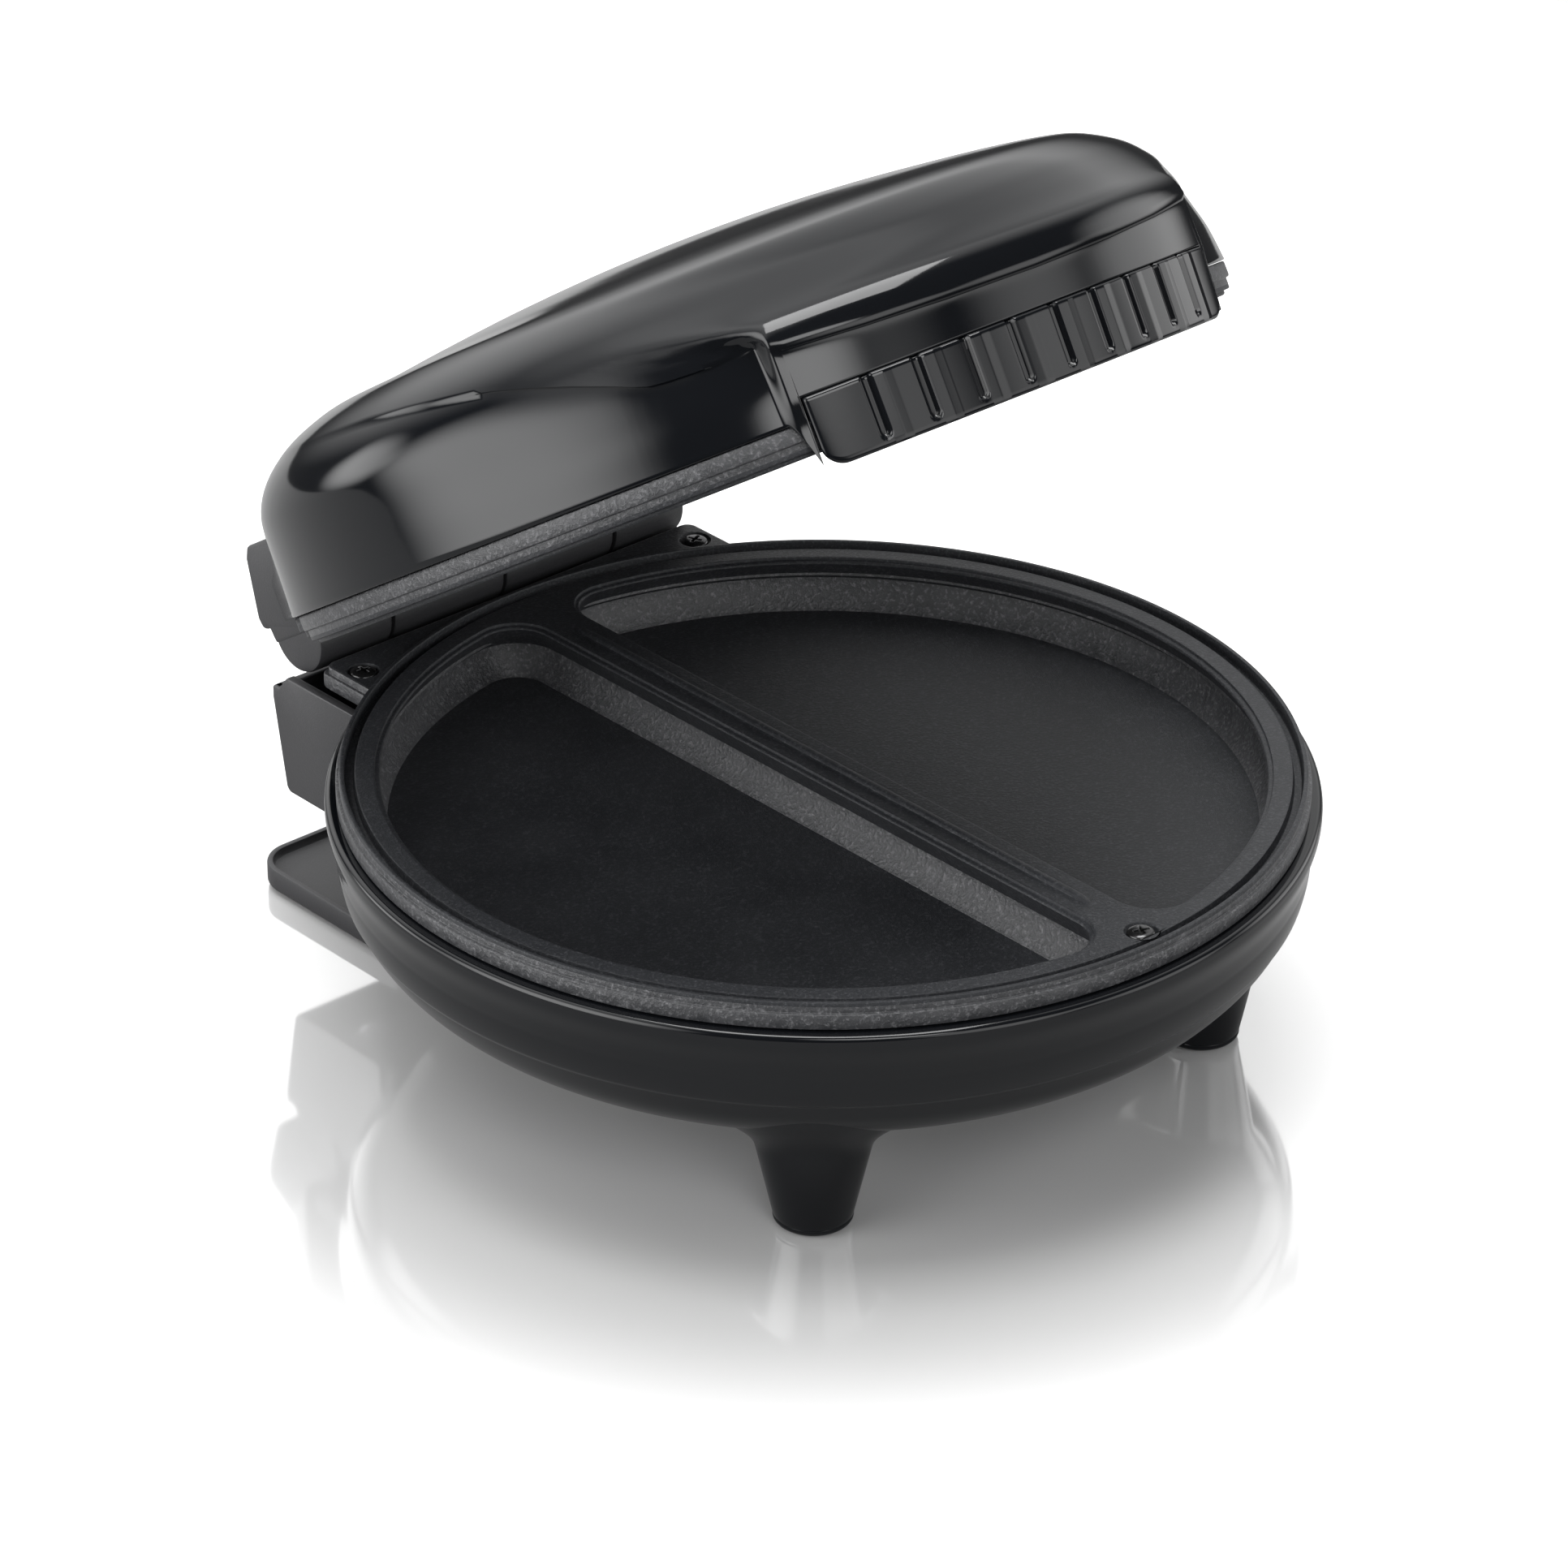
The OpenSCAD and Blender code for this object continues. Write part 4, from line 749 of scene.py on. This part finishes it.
# runs a node tree on an object and hands back its plain mesh
def runTree(obj, tree, values):
    mod = obj.modifiers.new("tree", "NODES")
    mod.node_group = tree
    for item in tree.interface.items_tree:
        if item.item_type == "SOCKET" and item.in_out == "INPUT" and item.name in values:
            mod[item.identifier] = values[item.name]
    bpy.context.view_layer.update()
    seen = bpy.context.evaluated_depsgraph_get()
    mesh = bpy.data.meshes.new_from_object(obj.evaluated_get(seen))
    obj.modifiers.remove(mod)
    return mesh


def finishMesh(name, mesh, place, sharp):
    count = len(mesh.vertices)
    flat = np.empty(count * 3)
    mesh.vertices.foreach_get("co", flat)
    mesh.vertices.foreach_set("co", place(flat.reshape(-1, 3)).ravel())
    piece = smoothObject(name, mesh, sharp)
    mesh.update()
    return piece


def gripBlank(s):
    r, low, high, t, c = s["outRadius"], s["low"], s["high"], s["thick"], s["cornerRadius"]
    b = Builder()
    outside = []
    loops = []
    for turn in np.arange(-s["halfTurn"], s["halfTurn"] + 0.001, 0.15):
        toEnd = (s["halfTurn"] - abs(turn)) * radians(1) * r
        k = min(1, toEnd / c)
        lowHere = low + c * (1 - sqrt(max(0, 1 - (1 - k) ** 2)))
        edge = 0.9 * (1 - sqrt(max(0, 1 - (1 - min(1, toEnd / 0.9)) ** 2)))
        ro = r - edge
        rl = ro - s["lean"]
        line = [(rl - 0.7, lowHere, 0), (rl - 0.4, lowHere + 0.12, 0), (rl - 0.1, lowHere + 0.45, 1),
                (rl, lowHere + 0.95, 1)]
        line += [(ro - s["lean"] * (1 - h), lowHere + 0.95 + (high - 0.7 - lowHere - 0.95) * h, 1)
                 for h in np.linspace(0, 1, 34)[1:]]
        line += [(ro - 0.12, high - 0.35, 1), (ro - 0.4, high - 0.1, 1), (ro - 0.85, high, 1), (r - t, high, 0),
                 (r - t, 4, 0), (r - t, lowHere, 0)]
        loops.append([fromFront(q, turn, z) for q, z, o in line])
        outside += [o for q, z, o in line]
    b.skin(loops, capStart=True, capEnd=True)
    mesh = rawMesh("gripBlank", b.verts, b.faces)
    mark = mesh.attributes.new("outside", "FLOAT", "POINT")
    mark.data.foreach_set("value", outside)
    return cleanMesh(mesh)


def makeGrip(s):
    blank = addObject("gripBlank", gripBlank(s))
    mesh = runTree(blank, gripFluteTree(), dict(fluteValues, Material=glossBlack))
    bpy.data.objects.remove(blank)
    return finishMesh("fingerGrip", mesh, placeOnLid, 32)


fingerGrip = makeGrip(gripSizes)
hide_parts("handle_grip")
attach(fingerGrip, "lid")
print("grip made")


# hinge

hingeSizes = {
    "halfWidth": 53.6, "innerHalf": 32.0, "gap": 0.4, "lidKnuckle": 8.7, "baseKnuckle": 8.5, "coverFront": 107.2,
    "coverTop": 25.0, "coverTopY": 123.4, "coverLowY": 127.7, "coverLow": 7.0, "boxHalf": 56.6, "boxRearY": 120.9,
    "boxLean": 4.5, "boxTop": -7.0, "boxRearTop": -10.6, "boxFloor": -36.0, "boxFrontY": 86.0, "wall": 2.4,
    "edge": 0.8, "bore": 2.6,
}
hingeY = (hingePoint.y - plateCentre.y) / mm
hingeZ = (hingePoint.z - matingZ) / mm


# a plan in (y, z) run along X with softened ends
def extrudeX(b, outline, x0, x1, edge):
    centre = np.mean(np.array(outline), 0)

    def loop(x, inset):
        pts = []
        for p in outline:
            q = np.array(p, float)
            d = centre - q
            pts.append(tuple(q + d / max(1e-6, np.linalg.norm(d)) * inset))
        return [(x, y, z) for y, z in pts]
    ends = [(x0, edge), (x0 + edge * 0.3, edge * 0.3), (x0 + edge, 0)]
    ends += [(x1 - edge, 0), (x1 - edge * 0.3, edge * 0.3), (x1, edge)]
    b.skin([loop(x, inset) for x, inset in ends], capStart=True, capEnd=True)


def makeCover(s):
    b = Builder()
    k, front = s["lidKnuckle"], s["coverFront"]
    top, tY, lY, low = s["coverTop"], s["coverTopY"], s["coverLowY"], s["coverLow"]
    shared = [(front, top - 4), (front + 2, top), (tY - 2, top), (tY, top - 2.4), (lY, low + 2),
              (lY - 0.5, low - 0.8)]
    rounds = [0.5, 1, 1, 1.2, 1.6, 2.2, 1.5]
    blockEnd = [(hingeY + k + 0.3, low - 1.0), (hingeY + k - 0.2, hingeZ)]
    outline = roundCorners([(front, hingeZ)] + shared + blockEnd, rounds + [0.3, 0.5])
    webEnd = [(hingeY + k + 1.4, hingeZ + 4), (hingeY + 6, hingeZ + k + 1.2)]
    middle = roundCorners([(front, hingeZ + k + 1.3)] + shared + webEnd, rounds + [1, 2])
    inner = s["innerHalf"] + s["gap"]
    for side in (-1, 1):
        x0, x1 = sorted((side * inner, side * s["halfWidth"]))
        extrudeX(b, outline, x0, x1, s["edge"])
        # the barrel ends just inside the block, so no faces coincide
        x0, x1 = x0 + 0.35, x1 - 0.35
        b.spinX([(x0, 0.01), (x0, k - 0.9), (x0 + 0.25, k - 0.3), (x0 + 0.9, k), (x1 - 0.9, k), (x1 - 0.25, k - 0.3),
                 (x1, k - 0.9), (x1, 0.01)], (hingeY, hingeZ), ring=False)
    extrudeX(b, middle, -inner - 1, inner + 1, 0.2)
    return b.object("hingeCover", [mattBlack], sharp=32, onLid=True)


def makeHingeBox(s):
    b = Builder()
    y1, top, rearTop, floor = s["boxRearY"], s["boxTop"], s["boxRearTop"], s["boxFloor"]
    y0, w, h, foot = s["boxFrontY"], s["wall"], s["boxHalf"], y1 - s["boxLean"]
    side = roundCorners([(y0, floor), (foot, floor), (y1, rearTop - 3), (y1, rearTop), (y1 - w, rearTop),
                         (hingeY, top), (y0, top)], [0, 1.4, 2.5, 0.7, 0.6, 1.2, 0])
    for k in (-1, 1):
        x0, x1 = sorted((k * h, k * (h - w)))
        extrudeX(b, side, x0, x1, 0.5)
    rear = roundCorners([(foot - w, floor + w), (foot - w - 12, floor + w), (foot - w - 12, floor), (foot, floor),
                         (y1, rearTop - 3), (y1, rearTop), (y1 - w, rearTop), (y1 - w, rearTop - 3)],
                        [0, 0, 0, 1.4, 2.5, 0.7, 0.5, 0.5])
    extrudeX(b, rear, -h + 0.4, h - 0.4, 0.2)
    extrudeX(b, [(y0, floor), (foot - 1, floor), (foot - 1, floor + w), (y0, floor + w)], -h + 0.4, h - 0.4, 0.1)
    # middle web and the knuckle pair with its seam
    web = roundCorners([(y0 + 24, floor + w), (hingeY + 1, floor + w), (hingeY + 1, hingeZ), (y0 + 24, hingeZ - 5)],
                       0.3, 3)
    inner, k, bore = s["innerHalf"], s["baseKnuckle"], s["bore"]
    extrudeX(b, web, -inner, inner, 0.4)
    for x0, x1 in ((-inner, -0.35), (0.35, inner)):
        b.spinX([(x0, bore), (x0, k - 0.9), (x0 + 0.25, k - 0.3), (x0 + 0.9, k), (x1 - 0.7, k), (x1 - 0.2, k - 0.2),
                 (x1, k - 0.7), (x1, bore)], (hingeY, hingeZ))
    b.spinX([(-1, bore), (-1, k - 1.2), (1, k - 1.2), (1, bore)], (hingeY, hingeZ), steps=64)
    return b.object("hingeBox", [mattBlack], sharp=32)


hingeCover = makeCover(hingeSizes)
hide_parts("lid_hinge_cover")
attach(hingeCover, "lid")
hingeBox = makeHingeBox(hingeSizes)
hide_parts("hinge_housing")
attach(hingeBox, "base")
print("hinge made")


# rear foot

rearFootSizes = {
    "halfWidth": 57.0, "frontY": 78.0, "rearY": 130.6, "corner": 9.0, "low": -64.0, "thick": 3.4, "lip": 1.4,
    "lipHeight": 2.0, "coreHalf": 34.0, "coreFront": 82.0, "coreRear": 112.5, "coreTop": -36.0,
}


def makeRearFoot(s):
    b = Builder()
    h, y0, y1, c, low, lip = s["halfWidth"], s["frontY"], s["rearY"], s["corner"], s["low"], s["lip"]
    bed = low + s["thick"]
    brim = low + s["thick"] + s["lipHeight"]

    def block(half, front, rear, z, rounds, steps):
        corners = [(-half, front), (half, front), (half, rear), (-half, rear)]
        return [(x, y, z) for x, y in roundCorners(corners, rounds, steps)]

    tray = [(6, low), (0.8, low), (0.25, low + 0.2), (0, low + 0.8), (0, brim - 0.5), (0.15, brim - 0.12),
            (0.45, brim), (lip - 0.4, brim), (lip - 0.1, brim - 0.15), (lip, brim - 0.5), (lip + 0.1, bed + 0.5),
            (lip + 0.4, bed + 0.1), (lip + 0.9, bed), (lip + 6, bed)]
    b.skin([block(h - inset, y0 + inset * 0.5, y1 - inset, z, 2 * [max(0.4, 2 - inset)] + 2 * [c - inset], 12)
            for inset, z in tray], capStart=True, capEnd=True)
    core = [(-1, bed - 0.4), (-0.3, bed + 0.2), (0, bed + 1), (0, s["coreTop"])]
    b.skin([block(s["coreHalf"] - inset, s["coreFront"], s["coreRear"] - inset, z, 2.5, 6) for inset, z in core],
           capStart=True, capEnd=True)
    return b.object("rearFoot", [mattBlack], sharp=32)


rearFoot = makeRearFoot(rearFootSizes)
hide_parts("rear_foot")
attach(rearFoot, "base")
print("rear foot made")


# plate screws

screwSizes = {
    "headRadius": 3.1, "headHigh": 1.6, "crossLength": 1.75, "crossWidth": 0.42, "crossDeep": 0.8, "seatZ": -2.15,
}
screwPlaces = {"Side Distance": 48.6, "Front Place": -98.0, "Rear Place": 98.0, "Turn Seed": 7}


def screwHead(s, flip):
    b = Builder()
    r, h, z0, steps = s["headRadius"], s["headHigh"], s["seatZ"], 64
    profile = [(0.01, z0 - 0.2), (r - 0.2, z0 - 0.2), (r, z0 + 0.1), (r, z0 + h * 0.45), (r - 0.12, z0 + h * 0.66),
               (r - 0.4, z0 + h * 0.82), (r - 0.8, z0 + h * 0.93), (r - 1.2, z0 + h)]
    length, width = s["crossLength"], s["crossWidth"]

    # the edge of the cross recess, against the angle
    def crossLoop(scale, z):
        pts = []
        for a in np.linspace(0, 2 * pi, steps, endpoint=False):
            f = abs((a + pi / 4) % (pi / 2) - pi / 4)
            reach = max(min(length, width / max(1e-4, sin(f))), width * 1.25)
            pts.append((reach * scale * cos(a), reach * scale * sin(a), z))
        return pts
    top = z0 + h
    cross = [(1.06, top), (1.0, top - 0.05), (0.8, top - s["crossDeep"]), (0.2, top - s["crossDeep"] - 0.1)]
    b.skin([circleLoop(q, z, steps=steps) for q, z in profile] + [crossLoop(k, z) for k, z in cross], capEnd=True)
    verts = [(x, y, plateGap - z) for x, y, z in b.verts] if flip else b.verts
    return cleanMesh(rawMesh("screwHead", verts, b.faces))


# one screw in front and two behind, each turned by chance
def screwSetTree():
    g, given, result = newGroup("screwSet", "GeometryNodeTree", {
        "Head": "Geometry", "Side Distance": "Float", "Front Place": "Float", "Rear Place": "Float",
        "Turn Seed": "Int", "Material": "Material",
    }, {"Geometry": "Geometry"})
    screwCount, fullTurn = 3, 6.2832
    step = calc(g, "SUBTRACT", g.nodes.new("GeometryNodeInputIndex").outputs[0], 1.0)
    behind = calc(g, "ABSOLUTE", step)
    y = calc(g, "ADD", calc(g, "MULTIPLY", behind, given["Rear Place"]),
             calc(g, "MULTIPLY", calc(g, "SUBTRACT", 1.0, behind), given["Front Place"]))
    spot = addNode(g, "ShaderNodeCombineXYZ", {0: calc(g, "MULTIPLY", step, given["Side Distance"]), 1: y})
    points = addNode(g, "GeometryNodePoints", {"Count": screwCount, "Position": spot.outputs[0]})
    chance = addNode(g, "FunctionNodeRandomValue", {3: fullTurn, "Seed": given["Turn Seed"]}, data_type="FLOAT")
    turned = addNode(g, "ShaderNodeCombineXYZ", {2: chance.outputs[1]})
    placed = addNode(g, "GeometryNodeInstanceOnPoints", {
        "Points": points.outputs[0], "Instance": given["Head"], "Rotation": turned.outputs[0],
    })
    endTree(g, given, result, placed.outputs[0])
    return g


screwSet = screwSetTree()


def makeScrews(name, s, onLid):
    blank = addObject("screwBlank", screwHead(s, onLid))
    mesh = runTree(blank, screwSet, dict(screwPlaces, Material=blackScrew))
    bpy.data.objects.remove(blank)
    return finishMesh(name, mesh, placeOnLid if onLid else placeOnBase, 30)


lowerScrews = makeScrews("lowerScrews", screwSizes, False)
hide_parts("lower_plate_screws")
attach(lowerScrews, "base")
upperScrews = makeScrews("upperScrews", screwSizes, True)
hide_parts("upper_plate_screws")
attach(upperScrews, "lid")
print("screws made")


# materials of the parts kept from the construction

keptFinish = {
    "matt_black": mattBlack, "gloss_black": glossBlack, "coated_plate": coatedPlate, "black_screw": blackScrew,
    "zinc_steel": zincSteel, "heater_steel": heaterSteel, "shield_metal": shieldMetal, "thermostat_case": phenolic,
    "pale_ceramic": paleCeramic, "lead_sleeve": leadSleeve, "rubber_black": softRubber,
}
for part in frame["record"]["subparts"]:
    if part["node"] in nodes:
        worn = nodes[part["node"]].data.materials
        worn.clear()
        worn.append(keptFinish.get(part["material_slot"], mattBlack))
print("kept parts dressed")


# stage

shot = {"turn": -41.848, "lift": 28.772, "distance": 1544.3, "lens": 160.24, "roll": 0.261,
        "target": (14.20, 28.66, -23.61)}
turn, lift = radians(shot["turn"]), radians(shot["lift"])
back = Vector((sin(turn) * cos(lift), -cos(turn) * cos(lift), sin(lift)))
target = Vector(placeOnBase(np.array([shot["target"]], float))[0])
camData = bpy.data.cameras.new("camera")
camData.lens = shot["lens"]
camData.sensor_width = 36
camData.clip_end = 20
camera = addObject("camera", camData)
camera.location = target + back * shot["distance"] * mm
aim = (-back).to_track_quat("-Z", "Y").to_matrix().to_4x4() @ Matrix.Rotation(radians(shot["roll"]), 4, "Z")
camera.rotation_euler = aim.to_euler()
bpy.context.scene.camera = camera

floorSizes = {"radius": 0.62, "steps": 128, "shineFull": 0.12, "shineGone": 0.215, "shine": 0.55}
floorMesh = rawMesh("floor", circleLoop(floorSizes["radius"], 0, steps=floorSizes["steps"]),
                    [tuple(range(floorSizes["steps"]))])
floor = addObject("floor", floorMesh)
floorLook, tree, shader = newMaterial("paleFloor")
feed(tree, shader, {"Base Color": (0.92, 0.92, 0.92, 1), "Roughness": 0.8, "Specular IOR Level": 0.0})
rays = tree.nodes.new("ShaderNodeLightPath").outputs
place = tree.nodes.new("ShaderNodeTexCoord").outputs["Object"]
reach = addNode(tree, "ShaderNodeVectorMath", {0: place, 1: (0, plateCentre.y, 0)}, operation="DISTANCE")
fade = addNode(tree, "ShaderNodeMapRange", {
    "Value": reach.outputs["Value"], "From Min": floorSizes["shineFull"], "From Max": floorSizes["shineGone"],
    "To Min": floorSizes["shine"], "To Max": 0.0,
}, interpolation_type="SMOOTHSTEP", clamp=True)
# the camera sees the pale floor and its shine, the object a dim one
dim = addNode(tree, "ShaderNodeBsdfDiffuse", {"Color": (0.3, 0.3, 0.3, 1)})
plain = addNode(tree, "ShaderNodeMixShader", {0: rays["Is Camera Ray"], 1: dim.outputs[0], 2: shader.outputs[0]})
gloss = addNode(tree, "ShaderNodeBsdfGlossy", {"Color": (1, 1, 1, 1), "Roughness": 0.06})
shine = calc(tree, "MULTIPLY", fade.outputs["Result"], rays["Is Camera Ray"])
both = addNode(tree, "ShaderNodeMixShader", {0: shine, 1: plain.outputs[0], 2: gloss.outputs[0]})
feed(tree, tree.nodes["Material Output"], {"Surface": both.outputs[0]})
floorMesh.materials.append(floorLook)

lampSizes = {"place": (0.1, 0.15, 2.2), "aim": (0, 0, 0.05), "size": 1.2, "power": 42}
lampData = bpy.data.lights.new("topSoft", "AREA")
lampData.shape = "RECTANGLE"
lampData.size = lampData.size_y = lampSizes["size"]
lampData.energy = lampSizes["power"]
lamp = addObject("topSoft", lampData)
lamp.location = lampSizes["place"]
lamp.rotation_euler = (Vector(lampSizes["aim"]) - lamp.location).to_track_quat("-Z", "Y").to_euler()

# soft light from the surroundings: bearing from the rear, height, full angle, outer angle, strength
softLights = {
    "behind": (28, 40, 18, 54, 1.6),
    "above": (-52, 66, 6, 30, 1.5),
    "left": (-76, 13, 0, 38, 5.5),
    "leftRear": (-31, 2, 2, 20, 4.0),
    "frontLeft": (-152, 39, 8, 17, 6.0),
    "front": (182, 14, 8, 24, 2.4),
    "frontRight": (144, 13, 8, 25, 2.2),
    "right": (100, 10, 8, 26, 2.4),
}
fillStrength = 0.05
world = bpy.data.worlds.new("surround")
bpy.context.scene.world = world
world.use_nodes = True
wt = world.node_tree
way = wt.nodes.new("ShaderNodeTexCoord").outputs["Generated"]


# light that is full within one angle of a direction and gone at another
def softSpot(name, direction, full, outer, strength):
    toward = addNode(wt, "ShaderNodeVectorMath", {0: way, 1: direction}, operation="DOT_PRODUCT", label=name)
    return addNode(wt, "ShaderNodeMapRange", {
        "Value": toward.outputs["Value"], "From Min": cos(radians(outer)),
        "From Max": cos(radians(full)), "To Min": 0.0, "To Max": strength,
    }, interpolation_type="SMOOTHSTEP", clamp=True).outputs["Result"]


total = fillStrength
for name, (bearing, height, full, outer, strength) in softLights.items():
    a, e = radians(bearing), radians(height)
    direction = (sin(a) * cos(e), cos(a) * cos(e), sin(e))
    total = calc(wt, "ADD", softSpot(name, direction, full, outer, strength), total)
surround = wt.nodes["Background"]
feed(wt, surround, {"Color": (1, 1, 1, 1), "Strength": total})
# the white backdrop behind the object also shows in its gloss
backdrop = softSpot("backdrop", (-back.x, -back.y, back.z), 15, 24, 1.0)
white = addNode(wt, "ShaderNodeBackground", {"Color": (1, 1, 1, 1)})
rays = wt.nodes.new("ShaderNodeLightPath").outputs
clear = calc(wt, "MAXIMUM", rays["Is Camera Ray"], rays["Is Transmission Ray"])
glossy = calc(wt, "MULTIPLY", rays["Is Glossy Ray"], backdrop)
shown = addNode(wt, "ShaderNodeMixShader", {
    0: calc(wt, "MAXIMUM", clear, glossy), 1: surround.outputs[0], 2: white.outputs[0],
})
feed(wt, wt.nodes["World Output"], {"Surface": shown.outputs[0]})
bpy.context.scene.view_settings.view_transform = "Standard"
print("stage made")
